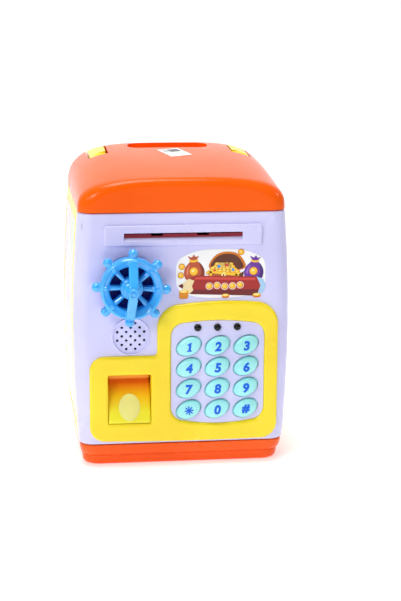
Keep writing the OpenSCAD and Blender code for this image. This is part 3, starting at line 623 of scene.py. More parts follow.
def build_lid():
    """Orange lid: arched, with channels for the arms and the grip of the handle, and a coin dish."""
    over, end_r = CREST_Z + 3, 8.4
    lid = lid_form()
    inner = lid_form(WALL, 48)
    blocks = [box(arm_span(side, 3.5), (8, HALF_D + 2), (LID_Z + 6, over)) for side in SIDES]
    cut(inner, *blocks, box((-55.5, 55.5), (GRIP_Y - 5, HALF_D + 2), (LID_Z + 2, over)),
        box((-27, 27), (DISH_Y[0] - 3, DISH_Y[1] + 2), (DISH_Z - 2.2, over)))
    skirt = box((-57, 57), (-53, 53), (LID_Z - 1, LID_Z + 5))
    cut(skirt, box((-55.5, 55.5), (GRIP_Y - 5, HALF_D), (LID_Z + 2, LID_Z + 6)))
    cut(lid, inner, skirt)
    tools = []
    for side in SIDES:
        x = arm_span(side, SIDE_GAP)
        tools += [box(x, (PIVOT[0], HALF_D + 5), (ARM_BOTTOM - GAP, CREST_Z + 8)),
                  rod("tool", "x", end_r, PIVOT, x),
                  box(x, (PIVOT[0] - end_r, PIVOT[0] + 1), (PIVOT[1], CREST_Z + 8))]
    wide = ARM_X[1] + 3.5
    channel = box((-wide, wide), (GRIP_Y - 6, HALF_D + 5), (GRIP_BOTTOM - GAP, CREST_Z + 8))
    tools.append(cut(channel, rod("swing", "x", SWING_R - GAP, PIVOT, (-wide - 1, wide + 1), 360)))
    tools += [box((-22, 22), (GRIP_Y + 1, HALF_D + 5), (GRIP_BOTTOM - 7, GRIP_BOTTOM)), dish_hollow(),
              box((-13.5, 13.5), (DISH_Y[1] - 4.1, DISH_Y[1] - 0.9), (166, CREST_Z)),
              rod("tool", "z", 1.8, HINGE, (LID_Z - 1, LID_Z + 6))]
    for at in DISH_SCREWS:
        tools += [rod("tool", "z", 0.85, at, (171, 180), 24), rod("tool", "z", 1.62, at, (175.6, 182), 32)]
    cut(lid, *tools)
    soften(lid, 0.55, 32)
    finish_piece(lid, "lid_moulding", ORANGE, "bank", "orange_plastic", "lid")


def dish_hollow():
    """The coin dish: a slope that eases down to the slot, within a plan with round corners."""
    start = crest(DISH_Y[0])
    floor = [(DISH_Y[0] + 13.5 * t, start - 0.3 + (DISH_Z - start + 0.3) * (3 * t ** 2 - 2 * t ** 3))
             for t in [i / 10 for i in range(11)]]
    profile = [(DISH_Y[0], CREST_Z + 5)] + floor + [(DISH_Y[1], DISH_Z), (DISH_Y[1], CREST_Z + 5)]
    plan = round_rect(50, DISH_Y[1] - DISH_Y[0], 7, 12, (0, (DISH_Y[0] + DISH_Y[1]) / 2))
    well = skin("well", [[(px, py, h) for px, py in plan] for h in (DISH_Z - 1, CREST_Z + 8)])
    return keep(slab("dish", profile, (-26, 26), "x"), well)


def build_dish_screws():
    """The two small screws in the coin dish, each with a crossed recess in its domed head."""
    profile = [(0.01, 172.7), (0.8, 172.7), (0.8, 175.7), (1.5, 175.7), (1.5, 176.4), (1.3, 176.8),
               (0.8, 177.1), (0.01, 177.2)]
    for n, (x, y) in enumerate(DISH_SCREWS):
        screw = turned("screw", profile, "z", (x, y), 40)
        cut(screw, box((x - 0.95, x + 0.95), (y - 0.16, y + 0.16), (176.7, 178)),
            box((x - 0.16, x + 0.16), (y - 0.95, y + 0.95), (176.7, 178)))
        nodes = ["dish_screws"] if n == 0 else []
        finish_piece(smooth(screw, 35), "dish_screw_%d" % (n + 1), STEEL, "bank", "steel", *nodes)


def build_handle():
    """Yellow carrying handle, lying flush in the lid."""
    form = lid_form()
    arms = [box(arm_span(side), (PIVOT[0], GRIP_Y + 2), (ARM_BOTTOM, CREST_Z + 3)) for side in SIDES]
    ends = [rod("end", "x", ARM_END_R, PIVOT, arm_span(side)) for side in SIDES]
    grip = box((-ARM_X[1], ARM_X[1]), (GRIP_Y - 6, HALF_D + 2), (GRIP_BOTTOM, CREST_Z + 3))
    cut(grip, rod("swing", "x", SWING_R, PIVOT, (-ARM_X[1] - 1, ARM_X[1] + 1), 360))
    add(grip, *arms, *ends)
    keep(form, grip)
    soften(form, 0.7, 32)
    finish_piece(form, "carry_handle", YELLOW, "handle", "yellow_plastic", "handle")


def build_base():
    """Orange base: a tray that draws in towards a lower tier, with fine grooves round it."""
    tiers = [(0.0, 4.5, 7.5), (0.25, 3.6, 6.5), (0.9, 3.0, 5.6), (1.8, 2.6, 5.0), (3.0, 2.35, 4.6),
             (4.6, 2.2, 4.4), (5.8, 2.2, 4.35), (6.2, 2.34, 4.5), (6.5, 2.25, 4.3), (6.9, 1.7, 3.3),
             (7.6, 1.35, 2.65), (8.6, 1.05, 2.0), (9.9, 0.8, 1.4), (10.2, 0.86, 1.44), (10.5, 0.66, 1.12),
             (11.6, 0.5, 0.75), (12.8, 0.45, 0.55), (13.5, 0.55, 0.65), (BASE_TOP, 1.1, 1.2)]
    solid = skin("base", [plan_ring(HALF_W - 3 - dx, HALF_D - dy, CORNER, z) for z, dx, dy in tiers])
    soften(solid, 0.2, 34, 2)
    finish_piece(solid, "base_moulding", BASE_ORANGE, "bank", "base_plastic", "base_tray", "base_plate")


def build_casing():
    """Yellow casing: sides and back, with a shallow window in each side for the printed panel."""
    z = (CASING_LOW.z, CASING_HIGH.z)
    beyond = (z[0] - 5, z[1] + 5)
    shell = body_block(z, 0.0, 0.8)
    cut(shell, body_block((z[0] - 4, z[1] + 4), WALL, 0.5), box((-80, 80), (FRONT - 5, CASING_LOW.y), beyond))
    tabs = []
    for x, y in ((-54, -41), (54.5, -33), (-52, 48), (52, 48)):
        wide = (x - 4.5, half_width(20) - 1.4) if x > 0 else (-half_width(20) + 1.4, x + 4.5)
        tabs += [box(wide, (y - 4.5, y + 4.5), h) for h in ((z[0], z[0] + 3.4), (z[1] - 3.4, z[1]))]
    tabs.append(box((-62.6, -57.3), (-47, -34), (113, 123.5)))
    add(shell, *tabs)
    cut(shell, rod("scoop", "z", SCOOP_R, HINGE, beyond, 96), box((-62.3, -57), BOLT_Y, BOLT_Z),
        *[panel_form(side, 0.25, -1.0, 0.8) for side in SIDES])
    soften(shell, 0.45, 32)
    finish_piece(shell, "casing_moulding", YELLOW, "bank", "yellow_plastic", "casing_shell")


def panel_form(side, grow, outer, inner):
    """A thin curved sheet in the side of the casing, between two insets from its surface."""
    low, high = span("side_panel_left")
    y0, y1 = low.y - grow, high.y + grow
    z0, z1 = low.z - grow, high.z + grow
    outline = round_rect(y1 - y0, z1 - z0, 3.0, 8, ((y0 + y1) / 2, (z0 + z1) / 2))
    block = slab("panel", outline, sorted((side * 52.0, side * 70.0)), "x")
    keep(block, body_block((2, 166), outer, 0.4))
    cut(block, body_block((0, 168), inner, 0.4))
    return block


def build_panels():
    """Printed panels let into the sides."""
    for side, name in zip(SIDES, ("left", "right")):
        panel = panel_form(side, 0.0, 0.2, 0.78)
        soften(panel, 0.2, 32, 2)
        finish_piece(panel, "panel_" + name, PRINT, "bank", "printed_film", "side_panel_" + name)


# ---------------------------------------------------------------- the door
def speaker_holes():
    """Staggered rows of small holes."""
    counts = [2, 3, 4, 3, 4, 3, 2]
    return [(SPEAKER[0] + (i - (n - 1) / 2) * 5.3, SPEAKER[1] + (row - 3) * 2.6)
            for row, n in enumerate(counts) for i in range(n)]


def build_door():
    """Lilac door: the whole front, wrapping its corners, with a box on its back that holds the works."""
    z = (DOOR_LOW.z, DOOR_HIGH.z)
    beyond, through = (z[0] - 5, z[1] + 5), (FRONT - 1, DOOR_IN + 2)
    pan = body_block(z, 0.0, 1.2)
    face = box((-80, HINGE[0]), (FRONT - 5, DOOR_BACK), beyond)
    edge = box((HINGE[0] - 1, 80), (FRONT - 5, HINGE[1]), beyond)
    keep(pan, add(face, edge, rod("barrel", "z", BARREL_R, HINGE, beyond, 128)))
    inside = round_rect(109.2, z[1] - z[0] - 4.8, 5, 8, (-4.6, 84.1))
    cut(pan, slab("hollow", inside, (DOOR_IN, DOOR_BACK + 1)))
    works = box(BOX_X, (DOOR_IN - 0.5, BOX_BACK), BOX_Z)
    cut(works, box((BOX_X[0] + 2, BOX_X[1] - 2), (DOOR_IN - 1, BOX_BACK + 1), (BOX_Z[0] + 2, BOX_Z[1] - 2)))
    guide = box((-16, -14), (DOOR_IN - 0.5, -36), (112, 124))
    boss = rod("boss", "y", 6, WHEEL, (DOOR_IN - 0.5, DOOR_IN + 7))
    posts = [rod("post", "y", 2.6, at, (DOOR_IN - 0.5, BOX_BACK)) for at in DOOR_POSTS]
    rim = turned("rim", counted(FRONT, [(11.6, 1), (11.6, -0.15), (11.5, -0.4), (11.25, -0.55),
                                        (10.95, -0.55), (0.01, -0.55)]), "y", SPEAKER, 96)
    add(pan, works, guide, boss, *posts, rim)
    dish = turned("dish", counted(FRONT, [(10.95, -1), (10.9, -0.5), (10.65, -0.3), (10.55, 0.5), (10.2, 0.7),
                                          (0.01, 0.7)]), "y", SPEAKER, 96)
    drills = joined("drills", [rod("drill", "y", 0.85, at, through, 20) for at in speaker_holes()])
    tools = [rod("tool", "y", 2.25, WHEEL, (FRONT - 1, DOOR_IN + 8)),
             box((-36.5, 36.5), through, (137.4, 144.6)),
             box((WINDOW_X[0] - 2, WINDOW_X[1] + 2), through, (WINDOW_Z[0] - 2, WINDOW_Z[1] + 2)),
             box((-5.6, 47.2), through, (28.3, 81)), box((-60, 0), BOLT_Y, BOLT_Z)]
    tools += [rod("tool", "y", 2.1, (x, LAMP_Z), through, 32) for x in LAMP_X]
    tools += [rod("tool", "z", 1.85, HINGE, h, 48) for h in ((z[0] - 1, z[0] + 8.2), (z[1] - 8.2, z[1] + 1))]
    cut(pan, dish, drills, *tools)
    soften(pan, 0.22, 34, 2)
    finish_piece(pan, "door_moulding", LILAC, "door", "lilac_plastic", "door_shell")


def round_front(obj, y_front, fillet):
    """Rounds the edges of the face that lies at the front."""
    level = y_front * MM
    with editing(obj.data) as bm:
        bmesh.ops.remove_doubles(bm, verts=bm.verts, dist=0.002 * MM)
        picked = [edge for edge in bm.edges if all(abs(v.co.y - level) < 1e-6 for v in edge.verts)
                  and len(edge.link_faces) == 2 and edge.calc_face_angle(0) > math.radians(60)]
        bmesh.ops.bevel(bm, geom=picked, offset=fillet * MM, segments=4, profile=0.5, affect="EDGES",
                        clamp_overlap=False)
    return obj


def build_bezel():
    """Lilac bezel of the banknote slot, with a chamfer under the slot that guides the note in."""
    front = span("slot_bezel")[0].y
    plate = slab("bezel", round_rect(93, 12.15, 1.6, 8, (0, (134.75 + 146.9) / 2)), (front, FRONT))
    round_front(plate, front, 0.9)
    add(plate, slab("throat", round_rect(72.6, 7, 0.8, 4, (0, SLOT_Z)), (FRONT - 0.3, FRONT + 6)))
    slope = [(front - 0.5, SLOT_LOW - 2.7), (FRONT + 0.2, SLOT_LOW), (front - 0.5, SLOT_Z)]
    cut(plate, box((-SLOT_HALF, SLOT_HALF), (front - 3, FRONT + 7), (SLOT_LOW, SLOT_TOP)),
        slab("slope", slope, (-SLOT_HALF, SLOT_HALF), "x"))
    soften(plate, 0.15, 40, 2)
    finish_piece(plate, "note_slot_bezel", LILAC, "door", "lilac_plastic", "slot_bezel")
    build_slot_lining()


def build_slot_lining():
    """Maroon lining of the slot: a floor, two ends, and a flap with two notches."""
    x, y, low = (-SLOT_HALF + 0.05, SLOT_HALF - 0.05), (FRONT - 0.7, FRONT + 5.8), SLOT_LOW + 0.02
    ends = [box((end, end + 0.2), y, (low, SLOT_TOP - 0.02)) for end in (-SLOT_HALF + 0.05, SLOT_HALF - 0.25)]
    flap = box(x, (FRONT - 0.7, FRONT - 0.2), (low, SLOT_Z + 0.7))
    cut(flap, *[box(notch, (FRONT - 2, FRONT + 2), (SLOT_Z - 0.4, SLOT_Z + 2))
                for notch in ((-19, -12), (8, 15))])
    lining = add(box(x, y, (low, SLOT_LOW + 0.2)), flap, *ends)
    soften(lining, 0.04, 40, 2)
    finish_piece(lining, "note_slot_lining", MAROON, "door", "dark_rubber")


def build_trim():
    """Yellow panel round the keypad, with the deep pocket for the finger ramp."""
    y0 = TRIM_FACE
    mid = (sum(WINDOW_X) / 2, sum(WINDOW_Z) / 2)
    w, h = WINDOW_X[1] - WINDOW_X[0], WINDOW_Z[1] - WINDOW_Z[0]
    panel = slab("trim", trim_outline(), (y0, FRONT))
    cut(panel, slab("hole", plate_outline(), (y0 - 3, FRONT + 3)))
    round_front(panel, y0, 1.8)
    weld(panel, 0.004)
    add(panel, slab("pocket", round_rect(w + 3.6, h + 3.6, 2.4, 6, mid), (FRONT - 1, -42)))
    cut(panel, slab("hole", round_rect(w, h, 1.2, 6, mid), (y0 - 3, -44)),
        rod("tool", "y", 2.3, (mid[0], 42), (-46, -40)), flare(y0, mid, w, h))
    smooth(panel, 34)
    finish_piece(panel, "trim_panel", YELLOW, "door", "yellow_plastic", "trim_frame")


def flare(y0, mid, w, h):
    """The tool that rounds the mouth of the pocket."""
    rings = [facing(round_rect(w + 3.2, h + 3.2, 2.8, 6, mid), y0 - 1.0)]
    for i in range(9):
        a = math.radians(90 * i / 8)
        grow = 1.6 * (1 - math.sin(a))
        outline = round_rect(w + 2 * grow, h + 2 * grow, 1.2 + grow, 6, mid)
        rings.append(facing(outline, y0 - 0.001 + 1.6 * (1 - math.cos(a))))
    return skin("flare", rings)


def build_plate():
    """Lilac plate that holds the keys."""
    through = (PLATE_FACE - 3, FRONT + 3)
    plate = slab("plate", plate_outline(), (PLATE_FACE, FRONT))
    cut(plate, *[slab("hole", key_oval(k, 1, 0.8, 0.35), through) for k in range(12)])
    cut(plate, *[rod("hole", "y", 2.1, (x, LAMP_Z), through, 40) for x in LAMP_X])
    round_front(plate, PLATE_FACE, 0.3)
    smooth(weld(plate, 0.004), 34)
    finish_piece(plate, "key_plate", LILAC, "door", "lilac_plastic", "keypad_plate")


def key_place(k):
    """Centre of a key, counted from the top left."""
    return KEY_FIRST[0] + (k % 3) * KEY_PITCH[0], KEY_FIRST[1] - (k // 3) * KEY_PITCH[1]


def key_oval(k, u=1.0, along=0.0, across=0.0):
    """The tilted oval of a key, u of its full size and then grown along and across."""
    return oval(KEY_A * u + along, KEY_B * u + across, KEY_TILT, 72, key_place(k))


def key_front(u):
    """Depth of the key's face at u, from 0 at its middle to 1 at its rim."""
    return FRONT - 3.8 + 2.2 * (1 - (max(0.0, 1 - u ** 2.6)) ** 0.5)


def build_key(k, node):
    """One key: a tilted oval cap with a domed face, its rim behind the plate, and its printed sign."""
    rings = []
    for i in range(20):
        u = max(0.02, math.sin(math.radians(90 * i / 19)))
        rings.append(facing(key_oval(k, u), key_front(u)))
    rings.append(facing(key_oval(k), FRONT + 0.15))
    rings += [facing(key_oval(k, 1, 0.8, -0.2), y) for y in (FRONT + 0.2, FRONT + 1.2)]
    finish_piece(smooth(skin(node, rings), 40), node + "_cap", KEY, node, "key_plastic", node)
    build_sign("123456789*0#"[k], key_place(k), node)


def flat_sign(outline):
    """A flat mesh with a little thickness from an outline in millimetres."""
    n = len(outline)
    points = [(x * MM, y * MM, h) for h in (0.12 * MM, -0.12 * MM) for x, y in outline]
    faces = [list(range(n)), list(range(2 * n - 1, n - 1, -1))]
    faces += [[i, (i + 1) % n, n + (i + 1) % n, n + i] for i in range(n)]
    mesh = bpy.data.meshes.new("sign")
    mesh.from_pydata(points, [], faces)
    return mesh


def star_sign():
    """A bold star of eight arms."""
    arm = ((-0.17, 2.5), (-0.08, 2.75), (0.08, 2.75), (0.17, 2.5), (math.pi / 8, 0.9))
    return flat_sign([polar(r, math.pi / 4 * k + 0.1 + turn) for k in range(8) for turn, r in arm])


def one_sign():
    """A bold one with a flag and a foot."""
    outline = [(-1.35, -2.7), (1.35, -2.7), (1.35, -1.95), (0.7, -1.85), (0.7, 2.7), (-0.1, 2.7), (-0.7, 2.1),
               (-1.6, 1.7), (-1.6, 0.9), (-0.7, 1.15), (-0.7, -1.85), (-1.35, -1.95)]
    return flat_sign([(x + 0.12 * y, y) for x, y in outline])


def text_mesh(sign):
    """A generic digit, or a hash, as a mesh with a little thickness."""
    curve = bpy.data.curves.new("sign", "FONT")
    curve.body = sign
    size, bold = (6.6, 0.42) if sign == "#" else (7.4, 0.36)
    curve.size, curve.offset, curve.extrude = size * MM, bold * MM, 0.12 * MM
    curve.align_x = curve.align_y = "CENTER"
    curve.shear = 0.12
    curve.resolution_u = 6
    text = linked("sign", curve)
    mesh = bpy.data.meshes.new_from_object(text.evaluated_get(bpy.context.evaluated_depsgraph_get()))
    bpy.data.objects.remove(text)
    return mesh


def build_sign(sign, at, node):
    """A bold printed sign that lies on the domed face of its key."""
    drawn = {"*": star_sign, "1": one_sign}
    mesh = drawn[sign]() if sign in drawn else text_mesh(sign)
    with editing(mesh) as bm:
        bmesh.ops.triangulate(bm, faces=bm.faces[:])
        for _ in range(2):
            bmesh.ops.subdivide_edges(bm, edges=[e for e in bm.edges if e.calc_length() > 0.5 * MM], cuts=1)
            bmesh.ops.triangulate(bm, faces=bm.faces[:])
    mid_x, mid_y = [(min(c) + max(c)) / 2 for c in zip(*[v.co.xy for v in mesh.vertices])]
    c, s = math.cos(math.radians(KEY_TILT)), math.sin(math.radians(KEY_TILT))
    for v in mesh.vertices:
        x, z = (v.co.x - mid_x) / MM, (v.co.y - mid_y) / MM
        u = min(1.0, math.hypot((x * c + z * s) / KEY_A, (-x * s + z * c) / KEY_B))
        lift = -0.1 if v.co.z > 0 else 0.2
        v.co = Vector((at[0] + x, key_front(u) + lift, at[1] + z)) * MM
    obj = linked("sign", mesh)
    fix_normals(obj)
    finish_piece(smooth(obj, 30), node + "_sign", INK, node, "blue_plastic")


def build_keys():
    """The twelve keys, row by row."""
    for k, sign in enumerate([str(n) for n in range(1, 10)] + ["star", "0", "hash"]):
        build_key(k, "key_" + sign)


# ---------------------------------------------------------------- wheel, ramp, lamps
def on_wheel(obj, turn, depth=0.0):
    """Moves a mesh made about the origin onto the wheel, at a depth, turned about the wheel's axis."""
    spin = Matrix.Rotation(math.radians(turn), 4, "Y")
    obj.data.transform(Matrix.Translation(Vector((WHEEL[0], depth, WHEEL[1])) * MM) @ spin)
    return obj


def spoke_at(angle):
    """A ridged spoke that widens towards the rim."""
    low, ridge, back = WHEEL_FACE + 3.0, WHEEL_FACE + 2.1, WHEEL_BACK - 0.6
    rings = []
    for r in (4.0, 14.0):
        w = 0.9 + 0.08 * (r - 4)
        rings.append([(-w, low, r), (0, ridge, r), (w, low, r), (w, back, r), (-w, back, r)])
    return on_wheel(skin("spoke", rings), 90 - angle)


def bridge_half(turn):
    """Half of the upright bridge, which arches from the rim out to the hub."""
    outer, inner = [], []
    for t in [i / 12 for i in range(13)]:
        ease = 0.45 * t + 0.55 * t * t * (3 - 2 * t)
        outer.append((WHEEL_FACE - 10.5 + 10.2 * ease, 2.6 + 14.6 * t))
        inner.append((WHEEL_FACE - 6.0 + 8.6 * ease, 2.6 + 14.6 * t))
    obj = slab("bridge", outer + inner[::-1], (-2.75, 2.75), "x")
    soften(obj, 1.2, 50, 4)
    return on_wheel(obj, turn)


def build_wheel():
    """Sky-blue ship's wheel: a dished rim, eight round grips, six spokes, and a bridge out to the hub."""
    back, face = WHEEL_BACK, WHEEL_FACE
    rim = turned("rim", [(13.4, back), (17.6, back), (18.3, back - 0.8)] + counted(face, [
        (18.3, 1.9), (18.1, 0.9), (17.6, 0.25), (17.0, 0.02), (16.4, 0.3), (16.0, 0.6), (14.0, 1.2),
        (13.3, 1.8), (12.9, 2.8)]), "y", WHEEL, 128)
    cut(rim, rod("hole", "y", 13.0, WHEEL, (face - 1, back + 1), 96))
    grip = [(2.5, 16.2), (2.5, 18.0), (2.7, 19.2), (2.9, 20.3), (2.8, 21.3), (2.3, 22.3), (1.3, 23.0),
            (0.01, 23.2)]
    parts = [rim] + [on_wheel(turned("grip", grip, "z", (0, 0), 28), 90 - angle, (back + face) / 2)
                     for angle in GRIP_ANGLES]
    parts += [spoke_at(angle) for angle in SPOKE_ANGLES] + [bridge_half(turn) for turn in (3, 183)]
    parts.append(turned("hub", [(6.6, back)] + counted(face, [
        (6.6, 2.0), (6.2, 1.4), (5.2, 1.1), (5.0, 0.6), (5.0, -1.0), (4.6, -1.6), (3.9, -1.9), (3.5, -3.0),
        (3.3, -10.0), (3.0, -10.5), (0.01, -10.5)]), "y", WHEEL, 96))
    finish_piece(melted("ship_wheel", parts, 0.3, 4), "ship_wheel", BLUE, "wheel", "blue_plastic", "wheel")
    build_rivets(face + 0.75)
    build_cap()


def build_rivets(face):
    """Six small domes on the rim."""
    profile = counted(face, [(1.6, 1.2), (1.6, -0.1), (1.42, -0.6), (1.0, -1.0), (0.5, -1.2), (0.01, -1.25)])
    rivets = [turned("rivet", profile, "y", polar(15.3, math.radians(a), WHEEL), 28) for a in SPOKE_ANGLES]
    finish_piece(smooth(joined("rivets", rivets), 50), "wheel_rivets", BLUE, "wheel", "blue_plastic")


def build_cap():
    """Hub cap: a ring with a small dome in its dimple."""
    low, high = span("wheel_cap")
    profile = counted(high.y, [(3.0, 0), (3.1, -0.2)]) + counted(low.y, [
        (3.1, 0.6), (2.97, 0.22), (2.65, 0), (2.25, 0), (1.95, 0.18), (1.75, 0.6), (1.55, 0.62), (1.2, 0.36),
        (0.6, 0.22), (0.01, 0.2)])
    cap = smooth(turned("cap", profile, "y", WHEEL, 72), 50)
    finish_piece(cap, "hub_cap", BLUE, "wheel", "blue_plastic", "wheel_cap")


def build_backplate():
    """Dark disc seen through the wheel."""
    low, high = span("wheel_backplate")
    profile = [(3.2, high.y), (17.5, high.y)] + counted(low.y, [
        (17.5, 0.3), (17.2, 0), (13.0, 0), (12.8, 0.2), (12.6, 0), (3.2, 0)])
    disc = turned("disc", profile, "y", WHEEL, 96)
    cut(disc, rod("hole", "y", 3.2, WHEEL, (low.y - 2, high.y + 2)))
    finish_piece(smooth(disc, 30), "wheel_disc", NAVY, "door", "navy_plastic", "wheel_backplate")


def build_ramp():
    """Yellow ramp for the finger: hollowed along its middle, with a rounded foot."""
    x0, x1 = WINDOW_X[0] + 0.3, WINDOW_X[1] - 0.3
    front = [(-59.3, 27.4), (-59.35, 28.6), (-58.9, 30.6), (-56.8, 37.2), (-54.6, 44), (-52.1, 49.8),
             (-51.0, 52.4), (-51.2, 53.0), (-51.6, 53.5), (-51.7, 56.6)]
    back = [(-46.2, 56.6), (-49.3, 49.6), (-52.0, 43), (-54.4, 35), (-56.4, 27.4)]
    rings = []
    for t in [i / 24 for i in range(25)]:
        x = x0 + (x1 - x0) * t
        side = 1 - abs(2 * t - 1)
        lip = 0.5 * max(0.0, 1 - side / 0.06) ** 2
        hollow = 0.35 * min(1.0, side / 0.5) ** 1.5
        ring = [(x, y + (hollow if 29 < z < 56 else 0.3 * hollow) + lip, z) for y, z in front]
        ring += [(x, y + lip * 0.2, z) for y, z in back]
        rings.append(ring)
    plate = skin("ramp", rings)
    modify(plate, "SUBSURF", subdivision_type="SIMPLE", levels=1)
    add(plate, rod("stem", "y", 2, (sum(WINDOW_X) / 2, 42), (-52.6, -42.3)))
    # The ramp's material has painted shade on it: deeper orange towards its top.
    finish_piece(smooth(plate, 40), "finger_ramp", RAMP_PAINTED_SHADE, "finger_plate", "yellow_plastic", "finger_plate")
    build_lens()


def build_lens():
    """Pale oval window in the ramp, gently domed, with faint ridges like a print."""
    mid = (sum(WINDOW_X) / 2, 36.6)
    rings = []
    for i in range(15):
        u = max(0.02, math.sin(math.radians(90 * i / 14)))
        lift = 0.25 * (1 - u * u)
        ridge = 0.05 * math.cos(2 * math.pi * u * 7) * (1 - u ** 8)
        rings.append([ramp_point(mid, x, z, 0.12 - lift - ridge) for x, z in oval(6.3 * u, 8.2 * u, 0, 64)])
    rings.append([ramp_point(mid, x, z, 0.9) for x, z in oval(6.3, 8.2, 0, 64)])
    lens = smooth(skin("lens", rings), 50)
    finish_piece(lens, "print_window", LENS, "finger_plate", "lens", "print_lens")


def ramp_point(mid, x, z, depth):
    """A point over the ramp's slope, in from its face by depth."""
    slope = math.radians(17.5)
    return (mid[0] + x, -56.85 + z * math.sin(slope) + depth * math.cos(slope),
            mid[1] + z * math.cos(slope) - depth * math.sin(slope))


def build_lamps():
    """Three small black lamps with round tops."""
    profile = [(2.0, -53.8)] + counted(FRONT - 2.5, [(2.0, 1.2), (1.85, 0.65), (1.45, 0.25), (0.8, 0.04),
                                                     (0.01, 0)])
    for n, x in enumerate(LAMP_X):
        lamp = smooth(turned("lamp", profile, "y", (x, LAMP_Z), 40), 50)
        nodes = ["indicator_leds"] if n == 0 else []
        finish_piece(lamp, "lamp_%d" % (n + 1), BLACK, "door", "black_plastic", *nodes)


# ---------------------------------------------------------------- printed labels
def print_layer(shapes, y):
    """Flat printed shapes as one thin mesh facing forward, lying at y; each is an (x, z) outline."""
    verts, faces = [], []
    for outline in shapes:
        start = len(verts)
        area = sum(a[0] * b[1] - b[0] * a[1] for a, b in zip(outline, outline[1:] + outline[:1]))
        verts += facing(outline if area > 0 else outline[::-1], y)
        faces.append(list(range(start, len(verts))))
    return new_object("print", verts, faces)


def disc(x, z, a, b=None, tilt=0, n=28):
    """An oval outline about a point."""
    return oval(a, b or a, tilt, n, (x, z))


def moved(outline, x, z, turn=0, size=1.0):
    """An outline turned, sized and put in its place."""
    c, s = math.cos(math.radians(turn)), math.sin(math.radians(turn))
    return [(x + size * (px * c - pz * s), z + size * (px * s + pz * c)) for px, pz in outline]


def smooth_loop(points, steps=6):
    """A smooth closed curve through points."""
    n = len(points)
    out = []
    for i in range(n):
        p0, p1, p2, p3 = (points[(i + k - 1) % n] for k in range(4))
        for j in range(steps):
            t = j / steps
            out.append(tuple(0.5 * (2 * b + (c - a) * t + (2 * a - 5 * b + 4 * c - d) * t ** 2
                                    + (3 * b - a - 3 * c + d) * t ** 3)
                             for a, b, c, d in zip(p0, p1, p2, p3)))
    return out


def sticker_outline():
    """The wavy outline of the die-cut sticker."""
    points = []
    for t in [2 * math.pi * i / 120 for i in range(120)]:
        c, s = math.cos(t), math.sin(t)
        swing = 0.05 * math.cos(4 * (t - math.pi / 2)) if s > 0 else 0.015 * math.cos(6 * (t - 1.5 * math.pi))
        wave = 1 + s * s * swing
        points.append((22.35 + 26.6 * wave * math.copysign(abs(c) ** 0.55, c),
                       117.1 + 14.1 * wave * math.copysign(abs(s) ** 0.6, s)))
    return points


def coin_layers(coins, *ovals):
    """Layers of coins: dark edges, faces and gleams, each a shift in x and z and then what disc takes."""
    inks = ("gold_dark", "gold", "gold_pale")
    return [(ink, [disc(x + dx, z + dz, *form) for x, z in coins])
            for ink, (dx, dz, *form) in zip(inks, ovals)]


def chest_art():
    """Layers of an open chest of coins: (ink name, outlines), lowest first."""
    lid_inside = smooth_loop([(-8.0, 4.5), (-5.5, 10.5), (0.5, 13.2), (7.6, 12.0), (11.6, 5.2), (2, 3.4)], 4)
    lid_edge = smooth_loop([(-9.0, 4.0), (-6.6, 11.2), (0.3, 14.5), (8.6, 13.0), (13.0, 5.2), (2, 2.6)], 4)
    layers = [("gold_dark", [lid_edge]), ("brown_dark", [lid_inside])]
    rng = random.Random(11)
    for row in range(5):
        z = 6.6 - 1.35 * row
        wide = 4.2 + 1.15 * row
        coins = [(-wide + 2 * wide * i / 6 + rng.uniform(-0.4, 0.4), z + rng.uniform(-0.3, 0.3))
                 for i in range(7)]
        layers += coin_layers(coins, (0, 0, 1.75, 1.25, 12, 16), (-0.1, 0.15, 1.45, 0.98, 12, 16),
                              (-0.3, 0.3, 0.65, 0.34, 12, 12))
    front = [(-8.6, -6.6), (8.0, -7.6), (9.2, 1.0), (-9.4, 2.4)]
    side = [(8.0, -7.6), (11.2, -5.2), (12.2, 3.0), (9.2, 1.0)]
    strips = []
    for t in (0.07, 0.5, 0.92):
        x0, z0 = -8.6 + 16.6 * t, -6.6 - 1.0 * t
        x1, z1 = -9.4 + 18.6 * t, 2.4 - 1.4 * t
        strips.append([(x0 - 0.7, z0), (x0 + 0.7, z0 - 0.1), (x1 + 0.7, z1 - 0.1), (x1 - 0.7, z1)])
    strips.append([(-9.4, 1.2), (9.2, -0.2), (9.3, 1.2), (-9.5, 2.6)])
    keyhole = [disc(-0.1, 0.4, 0.45), [(-0.4, 0.3), (0.2, 0.3), (0.35, -0.9), (-0.55, -0.9)]]
    return layers + [("gem_blue", [disc(-3.2, 5.4, 1.1, 1.0, 0, 6), disc(5.4, 3.6, 1.0, 0.9, 0, 6)]),
                     ("gem_red", [disc(1.4, 6.4, 1.1, 1.0, 0, 6), disc(-5.6, 2.6, 0.9, 0.8, 0, 6)]),
                     ("brown", [front]), ("brown_dark", [side]), ("gold", strips),
                     ("gold_pale", [disc(-0.1, 0.2, 1.3, 1.6)]), ("brown_dark", keyhole)]


